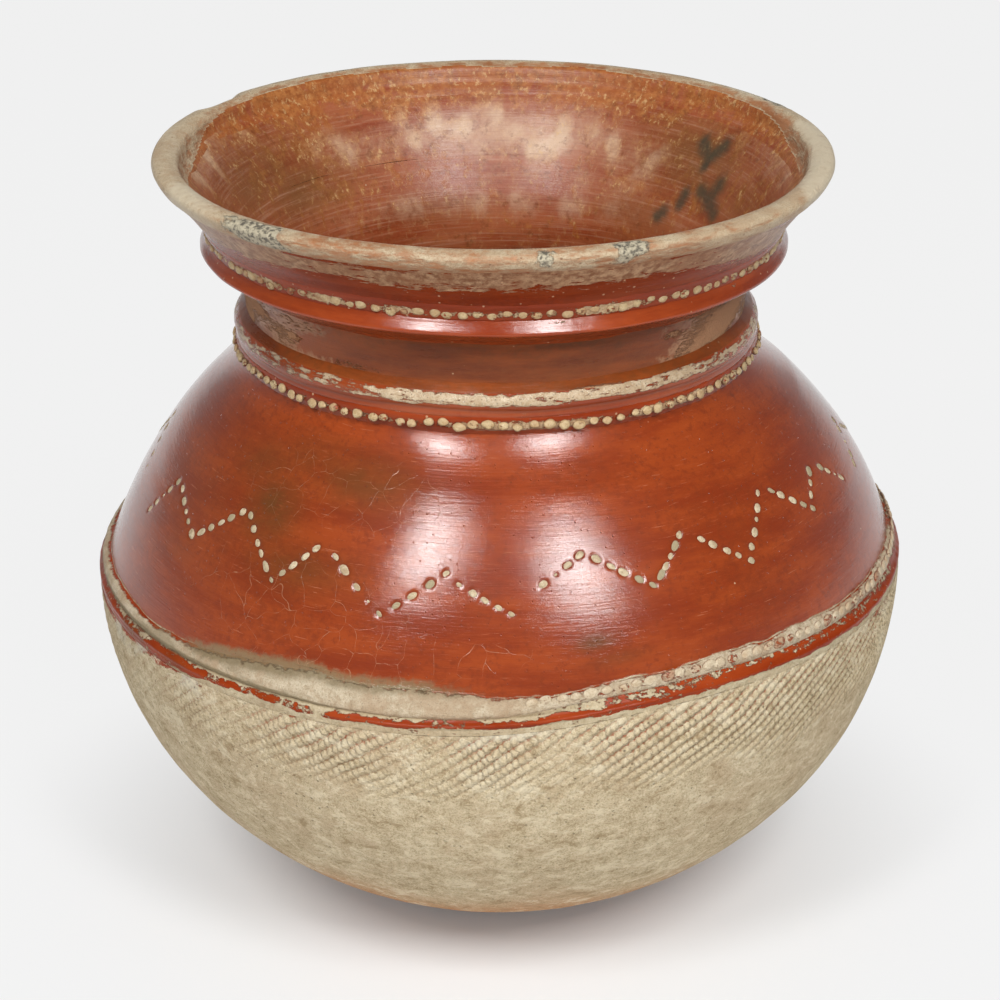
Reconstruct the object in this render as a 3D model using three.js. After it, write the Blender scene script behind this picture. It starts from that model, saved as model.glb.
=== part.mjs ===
// A hand-built terracotta vessel: a round-bottomed jar with a flared mouth.
// Millimetres, +Z up, origin at the centre of the flat rest under the bowl.
// Each piece is one ring of clay, turned about the Z axis and luted to its neighbours.
import * as THREE from 'three';

// Heights of the wall sections, stacked from the rest upwards
const bowlDepth = 170; // up to the belly joint
const shoulderRise = 89.5;
const neckRise = 58;
const flareRise = 33.5;
const lipRise = 6;

// Outer radii of the wall at the joints
const restRadius = 52;
const bellyRadius = 188; // of the bowl, just under the red ridge
const neckFootRadius = 120;
const waistRadius = 114.5;
const neckTopRadius = 125.5;
const flareTopRadius = 150.5;

// How the wall bows between its joints
const bowlFullness = 2; // exponent of the rounded bowl, 2 is an ellipse
const shoulderBow = 8.5; // outward from a straight cone
const flareBow = -1.5; // inward from a straight cone
const waistRise = 35; // from the neck's foot up to its narrowest place

// Clay thickness
const wall = 10; // across a joint
const floorThickness = 11;

// The lip: a flattened coil on the flare
const lipThickness = 12;
const lipOverhang = 1.5; // of the lip's crest past the flare
const lipCrestRise = 2.4; // from the flare up to the lip's crest

// Luted joints: the slip between two pieces of clay
const luteGap = 0.3;

// Belly trim: a red ridge in a rebate round the bowl's brim, with a beaded fillet on top of it
const rebateDepth = 4.5; // in from the bowl, back to the shoulder's foot
const redRidgeHeight = 8.6;
const redRidgeProud = 1.5; // out from the bowl
const redRidgeCrest = 0.5; // share of the height where the front stands out most
const filletHeight = 9.5;
const filletStand = 4.2; // out from the shoulder
const filletCrest = 0.3;
const filletBeadPitch = 6.4;
const filletBeadDepth = 1.5;

// Trim at the foot of the neck: a row of beads, a groove and a rolled coil
const lowerBeadRise = 7; // from the neck's foot up to the row
const lowerBeadHeight = 6.5;
const lowerBeadStand = 3.5;
const lowerBeadCrest = 0.45;
const lowerBeadPitch = 6.5;
const lowerBeadDepth = 1.6;
const grooveWidth = 3.5;
const lowerRidgeHeight = 9;
const lowerRidgeStand = 3.6;
const lowerRidgeCrest = 0.5;

// Trim at the top of the neck: a flange with a row of beads on it
const upperRidgeRise = 2; // from the neck's top up to the flange's upper edge
const upperRidgeHeight = 14;
const upperRidgeStand = 9;
const upperRidgeCrest = 0.7;
const upperBeadHeight = 7;
const upperBeadStand = 2.8;
const upperBeadCrest = 0.4;
const upperBeadPitch = 6.25;
const upperBeadDepth = 1.6;

// Facets
const turnSteps = 60;
const bowlSteps = 10;
const shoulderSteps = 5;
const neckSteps = 8;
const flareSteps = 4;
const lipSteps = 5;
const ridgeSteps = 4;

// Finishes of the clay
const gritBuff = { color: 0xab8a6c, roughness: 0.92 };
const burnishedRed = { color: 0x8e4129, roughness: 0.38 };
const brushedRed = { color: 0x7d4029, roughness: 0.5 };
const wornKaolin = { color: 0xc4a98e, roughness: 0.85 };

// The shoulder stands on the bowl's brim, behind the rebate
const shoulderFootRadius = bellyRadius - rebateDepth;

// Heights of the joints
const bellyZ = bowlDepth;
const rebateZ = bellyZ - redRidgeHeight - luteGap;
const neckFootZ = bellyZ + shoulderRise;
const waistZ = neckFootZ + waistRise;
const neckTopZ = neckFootZ + neckRise;
const flareTopZ = neckTopZ + flareRise;

const point = (radius, z) => new THREE.Vector2(radius, z);

// Points of a round arc from one point to another, bowed outwards by the given height
function arc(from, to, bow, steps) {
  const chord = new THREE.Vector2().subVectors(to, from);
  const outward = point(chord.y, -chord.x).normalize();
  const half = chord.length() / 2;
  const curveRadius = (half ** 2 + bow ** 2) / (2 * bow);
  const points = [];
  for (let step = 0; step <= steps; step += 1) {
    const along = step / steps;
    const across = (2 * along - 1) * half;
    const height = bow - curveRadius + Math.sign(bow) * Math.sqrt(curveRadius ** 2 - across ** 2);
    points.push(from.clone().addScaledVector(chord, along).addScaledVector(outward, height));
  }
  return points;
}

// Points of a rounded bowl, from its flat bottom of the given radius up to its brim
function bowl(bottomRadius, brimRadius, bottomZ, brimZ, steps) {
  const flat = (1 - (bottomRadius / brimRadius) ** bowlFullness) ** (1 / bowlFullness);
  const depth = (brimZ - bottomZ) / flat;
  const startAngle = Math.acos(flat ** (bowlFullness / 2));
  const points = [];
  for (let step = 0; step <= steps; step += 1) {
    const angle = THREE.MathUtils.lerp(startAngle, Math.PI / 2, step / steps);
    const radius = brimRadius * Math.sin(angle) ** (2 / bowlFullness);
    const drop = depth * Math.max(Math.cos(angle), 0) ** (2 / bowlFullness);
    points.push(point(radius, brimZ - drop));
  }
  points[0].set(bottomRadius, bottomZ);
  points[steps].set(brimRadius, brimZ);
  return points;
}

// Points of the waisted neck, drawn in by the given thickness
function neck(inset, steps) {
  const waisted = new THREE.SplineCurve([
    point(neckFootRadius - inset, neckFootZ),
    point(waistRadius - inset, waistZ),
    point(neckTopRadius - inset, neckTopZ),
  ]);
  return waisted.getPoints(steps);
}

// A section's lower end is raised by the slip that it stands in
function raiseFoot(points) {
  const raised = points.map((each) => each.clone());
  raised[0].y += luteGap;
  return raised;
}

// Turns a section about the upright axis; a section that starts off the axis is closed on itself
function turned(section, steps = turnSteps) {
  const closed = section[0].x > 0 ? [...section, section[0]] : section;
  return new THREE.LatheGeometry(closed, steps);
}

const group = new THREE.Group();

function addPiece(name, geometry, finish) {
  const material = new THREE.MeshStandardMaterial({ ...finish, metalness: 0 });
  const mesh = new THREE.Mesh(geometry.rotateX(Math.PI / 2), material);
  mesh.name = name;
  group.add(mesh);
}

// Outer faces of the wall, from the rest to the lip
const bowlOuter = [
  ...bowl(restRadius, bellyRadius, 0, rebateZ, bowlSteps),
  point(shoulderFootRadius, rebateZ),
  point(shoulderFootRadius, bellyZ),
];
const shoulderOuter = arc(
  point(shoulderFootRadius, bellyZ), point(neckFootRadius, neckFootZ), shoulderBow, shoulderSteps);
const neckOuter = neck(0, neckSteps);
const flareOuter = arc(
  point(neckTopRadius, neckTopZ), point(flareTopRadius, flareTopZ), flareBow, flareSteps);
const wallOuter = [bowlOuter, shoulderOuter, neckOuter, flareOuter].flat();

// Inner faces
const bowlInner = bowl(restRadius, shoulderFootRadius - wall, floorThickness, bellyZ, bowlSteps);
const shoulderInner = arc(
  point(shoulderFootRadius - wall, bellyZ), point(neckFootRadius - wall, neckFootZ),
  shoulderBow, shoulderSteps);
const neckInner = neck(wall, neckSteps);
const flareInner = arc(
  point(neckTopRadius - wall, neckTopZ), point(flareTopRadius - wall, flareTopZ), flareBow, flareSteps);

// The wall's outer radius at a height
function wallRadiusAt(z) {
  const above = wallOuter.findIndex((each) => each.y > z);
  const low = wallOuter[above - 1];
  const high = wallOuter[above];
  return THREE.MathUtils.mapLinear(z, low.y, high.y, low.x, high.x);
}

// The straight back of a trim ring: its two ends, clear of the wall by the slip that holds it
function seat(lowZ, highZ) {
  const low = wallRadiusAt(lowZ);
  const high = wallRadiusAt(highZ);
  const between = wallOuter.filter((each) => each.y > lowZ && each.y < highZ);
  const bulges = between.map((each) => each.x - THREE.MathUtils.mapLinear(each.y, lowZ, highZ, low, high));
  const clear = luteGap + Math.max(0, ...bulges);
  return { low: point(low + clear, lowZ), high: point(high + clear, highZ) };
}

// A plain ring seated on the wall, with a rounded front
function ridge(lowZ, height, stand, crestShare) {
  const back = seat(lowZ, lowZ + height);
  const crestZ = lowZ + height * crestShare;
  const crestRadius = wallRadiusAt(crestZ) + stand;
  const front = [];
  for (let step = 1; step < ridgeSteps; step += 1) {
    const angle = Math.PI * (step / ridgeSteps - 0.5);
    const end = angle < 0 ? back.low : back.high;
    const radius = THREE.MathUtils.lerp(end.x, crestRadius, Math.cos(angle));
    front.push(point(radius, crestZ + Math.abs(Math.sin(angle)) * (end.y - crestZ)));
  }
  return turned([back.low, ...front, back.high]);
}

// A ring of beads seated on the wall: its crest dips between one bead and the next
function beadRow(lowZ, height, stand, crestShare, beadPitch, beadDepth) {
  const back = seat(lowZ, lowZ + height);
  const crestZ = lowZ + height * crestShare;
  const crest = point(wallRadiusAt(crestZ) + stand, crestZ);
  const section = [back.low, crest, back.high];
  const beads = Math.round((2 * Math.PI * crest.x) / beadPitch);
  const geometry = turned(section, beads * 2);
  const places = geometry.getAttribute('position');
  const columnLength = geometry.parameters.points.length;
  const crestPlace = section.indexOf(crest);
  const dip = (crest.x - beadDepth) / crest.x;
  for (let column = 1; column < beads * 2; column += 2) {
    const dipPlace = column * columnLength + crestPlace;
    places.setX(dipPlace, places.getX(dipPlace) * dip);
    places.setZ(dipPlace, places.getZ(dipPlace) * dip);
  }
  return geometry;
}

// Wall sections
const floorCentre = point(0, floorThickness);
addPiece('base_bowl', turned([point(0, 0), ...bowlOuter, ...bowlInner.toReversed(), floorCentre]), gritBuff);
addPiece('shoulder_wall',
  turned([...raiseFoot(shoulderOuter), ...raiseFoot(shoulderInner).toReversed()]), burnishedRed);
addPiece('neck_wall', turned([...raiseFoot(neckOuter), ...raiseFoot(neckInner).toReversed()]), brushedRed);
addPiece('mouth_flare',
  turned([...raiseFoot(flareOuter), ...raiseFoot(flareInner).toReversed()]), brushedRed);

// The lip stands on the flare's flat top, and its upper half is an oval
function lip() {
  const footZ = flareTopZ + luteGap;
  const crestZ = flareTopZ + lipCrestRise;
  const section = [point(flareTopRadius - wall, footZ), point(flareTopRadius, footZ)];
  const middle = flareTopRadius + lipOverhang - lipThickness / 2;
  for (let step = 0; step <= lipSteps; step += 1) {
    const angle = Math.PI * (step / lipSteps);
    const radius = middle + (lipThickness / 2) * Math.cos(angle);
    section.push(point(radius, crestZ + (lipRise - lipCrestRise) * Math.sin(angle)));
  }
  return turned(section);
}
addPiece('rim_lip', lip(), wornKaolin);

// Belly trim
const redRidgeZ = rebateZ + luteGap;
const redRidgeStand = rebateDepth + redRidgeProud;
const filletZ = bellyZ + luteGap;
addPiece('belly_red_ridge', ridge(redRidgeZ, redRidgeHeight, redRidgeStand, redRidgeCrest), burnishedRed);
addPiece('belly_bead_fillet',
  beadRow(filletZ, filletHeight, filletStand, filletCrest, filletBeadPitch, filletBeadDepth), wornKaolin);

// Trim at the foot of the neck
const lowerBeadZ = neckFootZ + lowerBeadRise;
const lowerRidgeZ = lowerBeadZ + lowerBeadHeight + grooveWidth;
addPiece('lower_bead_row',
  beadRow(lowerBeadZ, lowerBeadHeight, lowerBeadStand, lowerBeadCrest, lowerBeadPitch, lowerBeadDepth),
  brushedRed);
addPiece('lower_ridge', ridge(lowerRidgeZ, lowerRidgeHeight, lowerRidgeStand, lowerRidgeCrest), wornKaolin);

// Trim at the top of the neck
const upperRidgeTopZ = neckTopZ + upperRidgeRise;
const upperRidgeZ = upperRidgeTopZ - upperRidgeHeight;
const upperBeadZ = upperRidgeTopZ + luteGap;
addPiece('upper_ridge', ridge(upperRidgeZ, upperRidgeHeight, upperRidgeStand, upperRidgeCrest), brushedRed);
addPiece('upper_bead_row',
  beadRow(upperBeadZ, upperBeadHeight, upperBeadStand, upperBeadCrest, upperBeadPitch, upperBeadDepth),
  brushedRed);

export default group;
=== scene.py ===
import math
from types import SimpleNamespace
import bpy
import numpy as np
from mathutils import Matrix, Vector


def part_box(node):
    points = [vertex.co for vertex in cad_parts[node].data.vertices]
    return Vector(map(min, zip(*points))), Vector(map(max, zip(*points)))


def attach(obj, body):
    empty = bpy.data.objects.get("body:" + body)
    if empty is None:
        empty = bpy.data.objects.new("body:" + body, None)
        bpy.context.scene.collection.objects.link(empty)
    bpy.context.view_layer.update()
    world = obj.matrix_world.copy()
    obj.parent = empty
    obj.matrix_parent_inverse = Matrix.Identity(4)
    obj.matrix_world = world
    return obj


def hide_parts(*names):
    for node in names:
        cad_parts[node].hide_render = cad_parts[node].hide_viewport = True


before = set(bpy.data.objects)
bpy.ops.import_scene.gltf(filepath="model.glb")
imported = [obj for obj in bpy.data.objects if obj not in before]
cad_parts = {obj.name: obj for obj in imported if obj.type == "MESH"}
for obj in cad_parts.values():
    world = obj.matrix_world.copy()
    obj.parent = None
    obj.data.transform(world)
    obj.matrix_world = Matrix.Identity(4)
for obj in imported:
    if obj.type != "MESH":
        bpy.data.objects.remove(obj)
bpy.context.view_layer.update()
print("jar frame:", len(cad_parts), "clay pieces")

mm = 0.001
turn = 2 * math.pi

# Overall shape of the jar, in metres; the rest comes from the frame
jar = {
    "restRadius": 52 * mm,
    "neckFootRadius": 120 * mm,
    "waistRadius": 114.5 * mm,
    "waistRise": 35 * mm,  # above the neck's foot
    "wall": 10 * mm,
    "floorThickness": 11 * mm,
    "rebateDepth": 4.5 * mm,
    "shoulderBow": 8.5 * mm,
    "flareBow": -1.5 * mm,
    # the belly joint climbs from left to right, with a hump: amount, and its angle and span in degrees
    "bellyStep": 3.9 * mm, "stepAngle": 8, "stepSpan": 15,
    "bellyHump": 2.2 * mm, "humpAngle": 28, "humpSpan": 20,
    "tiltSpread": 42 * mm,
    "leanHeights": [0, 0.12, 0.17, 0.215, 0.245, 0.265, 0.30, 0.36],
    "leanShifts": [-0.0002, -0.0003, -0.0006, 0.0010, 0.0008, -0.0015, -0.0027, -0.0031],
    "swell": 0.7 * mm,  # hand-made unevenness of the walls
    "coveReach": 9 * mm, "coveHalf": 14 * mm,  # the corner under the neck is smoothed, this far up and down
    "throatReach": 9 * mm,  # and so is the joint inside the mouth
    "rimWave": 0.8 * mm,
    "jointGap": 0.3 * mm,
    "coilRoot": 0.8 * mm,  # how far a coil runs into the wall behind its edges
}


def lowOf(node):
    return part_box(node)[0]


def highOf(node):
    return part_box(node)[1]


brimZ = lowOf("belly_red_ridge").z - jar["jointGap"]
brimRadius = highOf("base_bowl").x
bellyZ = highOf("base_bowl").z
shoulderFootRadius = brimRadius - jar["rebateDepth"]
neckFootZ = highOf("shoulder_wall").z
neckTopZ = highOf("neck_wall").z
neckTopRadius = highOf("neck_wall").x
flareTopZ = highOf("mouth_flare").z
flareTopRadius = highOf("mouth_flare").x


# Smooth random swell between -1 and 1, about one lump for each size in mm
def lumps(points, size, seed):
    scaled = np.asarray(points) / (size * mm) + 31.7 * seed
    cell = np.floor(scaled).astype(np.int64)
    part = scaled - cell
    part = part * part * (3 - 2 * part)
    total = np.zeros(len(scaled))
    for corner in range(8):
        step = np.array([corner & 1, corner >> 1 & 1, corner >> 2 & 1])
        at = cell + step
        key = at[:, 0] * 73856093 ^ at[:, 1] * 19349663 ^ at[:, 2] * 83492791 ^ seed * 40503
        key = (key ^ key >> 13) * 1274126177 & 0xFFFFFFFF
        key = (key ^ key >> 15) * 668265263 & 0xFFFFFFFF
        share = np.where(step == 1, part, 1 - part).prod(axis=1)
        total += share * ((key >> 8 & 0xFFFF) / 32767.5 - 1)
    return total


def roughLumps(points, size, seed):
    return sum(lumps(points, size / 2**layer, seed + layer) / 2**layer for layer in range(3)) / 1.75


# A soft bump, 1 in the middle
def bell(value, middle, span, power=2):
    return np.exp(-((value - middle) / span) ** power)


def ease(value, low, high):
    share = np.clip((value - low) / (high - low), 0, 1)
    return share * share * (3 - 2 * share)


# Points of a round arc from start to end, bowed outwards
def arcLine(start, end, bow, count):
    start, end = np.array(start), np.array(end)
    chord = end - start
    half = np.hypot(*chord) / 2
    outward = np.array([chord[1], -chord[0]]) / (2 * half)
    curve = (half**2 + bow**2) / (2 * bow)
    along = np.linspace(0, 1, count)
    across = (2 * along - 1) * half
    height = bow - curve + np.sign(bow) * np.sqrt(curve**2 - across**2)
    return start + along[:, None] * chord + height[:, None] * outward


# Points of the rounded bowl from its flat bottom up to the brim
def bowlLine(bottomRadius, topRadius, bottomZ, topZ, count):
    flat = math.sqrt(1 - (bottomRadius / topRadius) ** 2)
    angle = np.linspace(math.acos(flat), math.pi / 2, count)
    return np.stack([topRadius * np.sin(angle), topZ - (topZ - bottomZ) / flat * np.cos(angle)], 1)


# Points of the waisted neck
def neckLine(inset, count):
    heights = [neckFootZ, neckFootZ + jar["waistRise"], neckTopZ]
    radii = [jar["neckFootRadius"], jar["waistRadius"], neckTopRadius]
    waisted = np.polyfit(heights, radii, 2)
    z = np.linspace(neckFootZ, neckTopZ, count)
    return np.stack([np.polyval(waisted, z) - inset, z], 1)


def lengthAlong(line):
    return np.concatenate([[0], np.cumsum(np.hypot(*np.diff(line, axis=0).T))])


# The same line with its points set at the given lengths along it
def spaced(line, lengths):
    run = lengthAlong(line)
    return np.stack([np.interp(lengths, run, line[:, 0]), np.interp(lengths, run, line[:, 1])], 1)


def evenly(line, gap):
    run = lengthAlong(line)[-1]
    return spaced(line, np.linspace(0, run, max(2, round(run / gap) + 1)))


# Lengths along a line and points round each ring, for parts given by their end, gap and count
def ringPlan(*parts):
    lengths, counts, start = [], [], 0
    for end, gap, count in parts:
        part = np.linspace(start, end, round((end - start) / gap))[1 if start else 0:]
        lengths.append(part)
        counts += [count] * len(part)
        start = end
    return np.concatenate(lengths), counts


# Smooth line through a few points
def softLine(points, gap):
    points = np.array(points)
    ends = np.concatenate([[2 * points[0] - points[1]], points, [2 * points[-1] - points[-2]]])
    share = np.linspace(0, 1, 24, endpoint=False)[:, None]
    line = []
    for before, start, end, after in zip(ends, ends[1:], ends[2:], ends[3:]):
        bend = 3 * (start - end) + after - before
        bend = 2 * before - 5 * start + 4 * end - after + share * bend
        line.append(start + 0.5 * share * (end - before + share * bend))
    return evenly(np.concatenate(line + [points[-1:]]), gap)


wall = jar["wall"]
bowlOuter = bowlLine(jar["restRadius"], brimRadius, 0, brimZ, 400)
bowlInner = bowlLine(jar["restRadius"], shoulderFootRadius - wall, jar["floorThickness"], bellyZ, 200)
neckFoot = (jar["neckFootRadius"], neckFootZ)
shoulderOuter = arcLine((shoulderFootRadius, bellyZ), neckFoot, jar["shoulderBow"], 200)
shoulderInner = shoulderOuter - [wall, 0]
neckOuter = neckLine(0, 120)
neckInner = neckLine(wall, 120)
flareOuter = arcLine((neckTopRadius, neckTopZ), (flareTopRadius, flareTopZ), jar["flareBow"], 120)
flareInner = flareOuter - [wall, 0]
wallOuter = np.concatenate([shoulderOuter, neckOuter[1:], flareOuter[1:]])
# the throat is smoothed across the joint between neck and flare
throat = np.concatenate([neckInner, flareInner[1:]])
spread = np.linspace(-jar["throatReach"], jar["throatReach"], 13)
smoothed = np.mean([np.interp(throat[:, 1] + step, throat[:, 1], throat[:, 0]) for step in spread], axis=0)
near = ease(2 * jar["throatReach"] - np.abs(throat[:, 1] - neckTopZ), 0, 6 * mm)
throat[:, 0] += near * (smoothed - throat[:, 0])
neckInner, flareInner = throat[:len(neckInner)], throat[len(neckInner) - 1:]


def wallRadius(z):
    return np.interp(z, wallOuter[:, 1], wallOuter[:, 0])


coveZ = neckFootZ + np.linspace(-jar["coveHalf"], jar["coveHalf"], 113)
coveSteps = np.linspace(-jar["coveReach"], jar["coveReach"], 37)
covePush = np.mean([wallRadius(coveZ + step) for step in coveSteps], axis=0) - wallRadius(coveZ)
covePush *= ease(jar["coveHalf"] - np.abs(coveZ - neckFootZ), 0, 4 * mm)


# Section of a coil laid on the wall, from pairs of height and how far it stands off, in mm
def coilSection(profile, gap):
    points = [(wallRadius(height * mm) + off * mm, height * mm) for height, off in profile]
    front = softLine(points, gap)
    return np.concatenate([front, front[[-1, 0]] - [jar["coilRoot"], 0]])


# Hand-made unevenness shared by every piece, so that neighbours still meet
def settle(theta, radius, z):
    level = np.stack([radius * np.sin(theta), -radius * np.cos(theta), z], 1)
    swell = jar["swell"] * lumps(level, 120, 5) * ease(z, 0, 0.05)
    swell += np.interp(z, coveZ, covePush)
    wave = jar["rimWave"] * lumps(level * [1, 1, 0], 90, 9) * ease(z, 0.20, 0.34)
    angle = np.degrees(np.arctan2(np.sin(theta), np.cos(theta)))
    tilt = jar["bellyStep"] * (np.tanh((angle - jar["stepAngle"]) / jar["stepSpan"]) + 0.1)
    tilt += jar["bellyHump"] * bell(angle, jar["humpAngle"], jar["humpSpan"])
    tilt *= (1 - ease(np.abs(angle), 80, 180)) * bell(z, bellyZ, jar["tiltSpread"])
    level[:, 0] += swell * np.sin(theta) + np.interp(z, jar["leanHeights"], jar["leanShifts"])
    level[:, 1] -= swell * np.cos(theta)
    level[:, 2] += wave + tilt
    return level


# Faces between two rings of points, with each corner's place round the turn
def joinRings(first, firstCount, second, secondCount):
    if firstCount < secondCount:
        faces, turns = joinRings(second, secondCount, first, firstCount)
        return faces[:, ::-1], turns[:, ::-1]
    step = np.arange(secondCount)
    ahead = (step + 1) % secondCount
    if firstCount == secondCount:
        faces = np.stack([first + step, first + ahead, second + ahead, second + step], 1)
        return faces, np.stack([step, step + 1, step + 1, step], 1) / secondCount
    ratio = firstCount // secondCount
    half = ratio // 2
    faces, turns = [], []
    for part in range(ratio):
        low, tip = ratio * step + part, step + (part >= half)
        faces.append(np.stack([first + low, first + (low + 1) % firstCount, second + tip % secondCount], 1))
        over = tip / secondCount if secondCount > 1 else (low + 0.5) / firstCount
        turns.append(np.stack([low / firstCount, (low + 1) / firstCount, over], 1))
    if secondCount > 1:
        middle = ratio * step + half
        faces.append(np.stack([first + middle, second + ahead, second + step], 1))
        turns.append(np.stack([middle / firstCount, (step + 1) / secondCount, step / secondCount], 1))
    return np.concatenate(faces), np.concatenate(turns)


# All faces of a stack of rings, four-sided ones first, with the turn and the row of each corner
def weave(counts, ring):
    starts = np.concatenate([[0], np.cumsum(counts)])
    woven = []
    for here in range(len(counts) if ring else len(counts) - 1):
        there = (here + 1) % len(counts)
        faces, turns = joinRings(starts[here], counts[here], starts[there], counts[there])
        rows = np.where((faces >= starts[here]) & (faces < starts[here + 1]), here, here + 1)
        woven.append((faces, turns, rows))
    return sorted(woven, key=lambda part: -part[0].shape[1])


def makePiece(name, places, faces, maps):
    mesh = bpy.data.meshes.new(name)
    mesh.from_pydata(places, [], [face for part in faces for face in part.tolist()])
    bakeMap = np.concatenate([part.ravel() for part in maps]).astype(np.float32)
    mesh.uv_layers.new(name="OFBake").data.foreach_set("uv", bakeMap)
    mesh.shade_smooth()
    piece = bpy.data.objects.new(name, mesh)
    bpy.context.scene.collection.objects.link(piece)
    print(f"{name}: {len(mesh.polygons)} faces")
    return piece


# One piece of clay turned about the upright axis: section rows from outside up, over and down inside.
# The bake map lays the turn out in the given number of strips, and rows under "shown" get most of it.
def turnClay(name, section, counts, relief, ring=True, strips=2, shown=None, corner=65):
    section = np.array(section)
    counts = np.broadcast_to(counts, len(section)).astype(int)
    row = np.repeat(np.arange(len(section)), counts)
    theta = np.concatenate([np.arange(count) / count * turn - math.pi for count in counts])
    along = np.roll(section, -1, 0) - np.roll(section, 1, 0)
    if not ring:
        along[0], along[-1] = section[1] - section[0], section[-1] - section[-2]
    lift = np.stack([along[:, 1], -along[:, 0]], 1) / np.maximum(np.hypot(*along.T), 1e-9)[:, None]
    radius, z = section[row, 0].copy(), section[row, 1].copy()
    clay = SimpleNamespace(
        row=row, theta=theta, angle=np.degrees(theta), height=z / mm, radius=radius / mm,
        level=np.stack([radius * np.sin(theta), -radius * np.cos(theta), z], 1))
    push = relief(clay)
    places = settle(theta, radius + lift[row, 0] * push, z + lift[row, 1] * push)
    length = np.hypot(*np.diff(np.concatenate([section, section[:1]]), axis=0).T)
    length = np.where(np.arange(len(section)) < (shown or len(section)), length, length * 0.2)
    run = np.concatenate([[0], np.cumsum(length)]) / length.sum()
    woven = weave(counts, ring)
    maps = []
    for faces, turns, rows in woven:
        strip = np.floor(turns.mean(axis=1, keepdims=True) * strips)
        maps.append(np.stack([turns * strips - strip, (strip + 0.01 + 0.98 * run[rows]) / strips], 2))
    clay.faceRow = np.concatenate([rows.min(axis=1) for faces, turns, rows in woven])
    clay.piece = makePiece(name, places, [part[0] for part in woven], maps)
    clay.piece.data.set_sharp_from_angle(angle=math.radians(corner))
    return clay


# A coil laid on the wall
def layCoil(name, shape, relief, strips=2):
    section = coilSection(shape["profile"], shape["gap"])
    return turnClay(name, section, shape["columns"], relief, strips=strips)


def paint(clay, layer, values):
    layerData = clay.piece.data.attributes.new(layer, "FLOAT", "POINT").data
    layerData.foreach_set("value", np.clip(values, 0, 1).astype(np.float32))


def fire(clay, node, slot, *finishes):
    for finish in finishes:
        clay.piece.data.materials.append(finish)
    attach(clay.piece, "root")
    if node:
        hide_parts(node)


# Gives each face one of the piece's finishes, from numbers by face or by point
def chooseFinish(clay, numbers):
    mesh = clay.piece.data
    if len(numbers) != len(mesh.polygons):
        starts, corners = np.zeros(len(mesh.polygons), np.int32), np.zeros(len(mesh.loops), np.int32)
        mesh.polygons.foreach_get("loop_start", starts)
        mesh.loops.foreach_get("vertex_index", corners)
        numbers = numbers[corners[starts]]
    mesh.polygons.foreach_set("material_index", numbers.astype(np.int32))


def turnFrom(clay, angle):
    return (clay.angle - angle + 180) % 360 - 180


# 1 between two angles; each end is soft between its own pair of angles
def facing(clay, startLow, startHigh, endLow, endHigh):
    return ease(clay.angle, startLow, startHigh) * (1 - ease(clay.angle, endLow, endHigh))


# A soft oval patch, 1 in the middle; spans are half widths in degrees and mm
def patch(clay, angle, height, spanAngle, spanHeight, strength=1.0):
    off = np.hypot(turnFrom(clay, angle) / spanAngle, (clay.height - height) / spanHeight)
    return strength * np.exp(-off * off)


def patches(clay, spots):
    return np.max([patch(clay, *spot) for spot in spots], axis=0)


# A soft stroke between two places (angle, height), with a width in mm
def stroke(clay, start, end, width):
    scale = np.radians(1) * clay.radius
    across = turnFrom(clay, start[0]) * scale
    up = clay.height - start[1]
    runAcross = (end[0] - start[0]) * scale
    runUp = end[1] - start[1]
    share = np.clip((across * runAcross + up * runUp) / (runAcross**2 + runUp**2), 0, 1)
    off = np.hypot(across - share * runAcross, up - share * runUp) / width
    return np.exp(-off * off)


# sRGB 0 to 255 to the linear colour of a socket
def clayColour(*parts):
    parts = [part / 255 for part in parts]
    return tuple(p / 12.92 if p <= 0.04045 else ((p + 0.055) / 1.055) ** 2.4 for p in parts) + (1.0,)


# Small tools for wiring finishes; the bench holds the tree that is being wired
bench = {}


def feed(socket, value):
    if isinstance(value, bpy.types.NodeSocket):
        bench["tree"].links.new(value, socket)
    elif socket.type == "RGBA" and len(value) == 3:
        socket.default_value = clayColour(*value)
    else:
        socket.default_value = value


def put(kind, sockets={}, **settings):
    node = bench["tree"].nodes.new("ShaderNode" + kind)
    for setting, value in settings.items():
        setattr(node, setting, value)
    for socket, value in sockets.items():
        feed(node.inputs[socket], value)
    return node


def calc(operation, first, second=0.0, third=0.0):
    return put("Math", {0: first, 1: second, 2: third}, operation=operation).outputs[0]


def times(first, second):
    return calc("MULTIPLY", first, second)


def plus(first, second):
    return calc("ADD", first, second)


def minus(first, second):
    return calc("SUBTRACT", first, second)


def timesPlus(first, second, third):
    return calc("MULTIPLY_ADD", first, second, third)


def blend(share, first, second):
    return put("Mix", {0: share, 6: first, 7: second}, data_type="RGBA").outputs[2]


def rise(value, low, high, start=0.0, end=1.0):
    sockets = {0: value, 1: low, 2: high, 3: start, 4: end}
    return put("MapRange", sockets, interpolation_type="SMOOTHSTEP").outputs[0]


# Noise of about the given size in mm, squeezed in height by "flat"
def grain(place, size, detail=2.0, roughness=0.5, warp=0.0, flat=1):
    if flat != 1:
        place = put("VectorMath", {0: place, 1: (1, 1, flat)}, operation="MULTIPLY").outputs[0]
    sockets = {"Vector": place, "Scale": 1 / (size * mm), "Detail": detail, "Roughness": roughness}
    return put("TexNoise", {**sockets, "Distortion": warp}).outputs[0]


def painted(layer):
    return put("Attribute", attribute_name=layer).outputs["Fac"]


# Scattered dots: 1 inside a dot; "share" of the cells hold one
def dots(place, gap, size, share):
    cells = put("TexVoronoi", {"Vector": place, "Scale": 1 / (gap * mm), "Randomness": 1.0})
    chosen = put("SeparateColor", {0: cells.outputs["Color"]}).outputs[0]
    near = rise(cells.outputs["Distance"], size / gap, 0.5 * size / gap)
    return times(near, calc("LESS_THAN", chosen, share))


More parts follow.
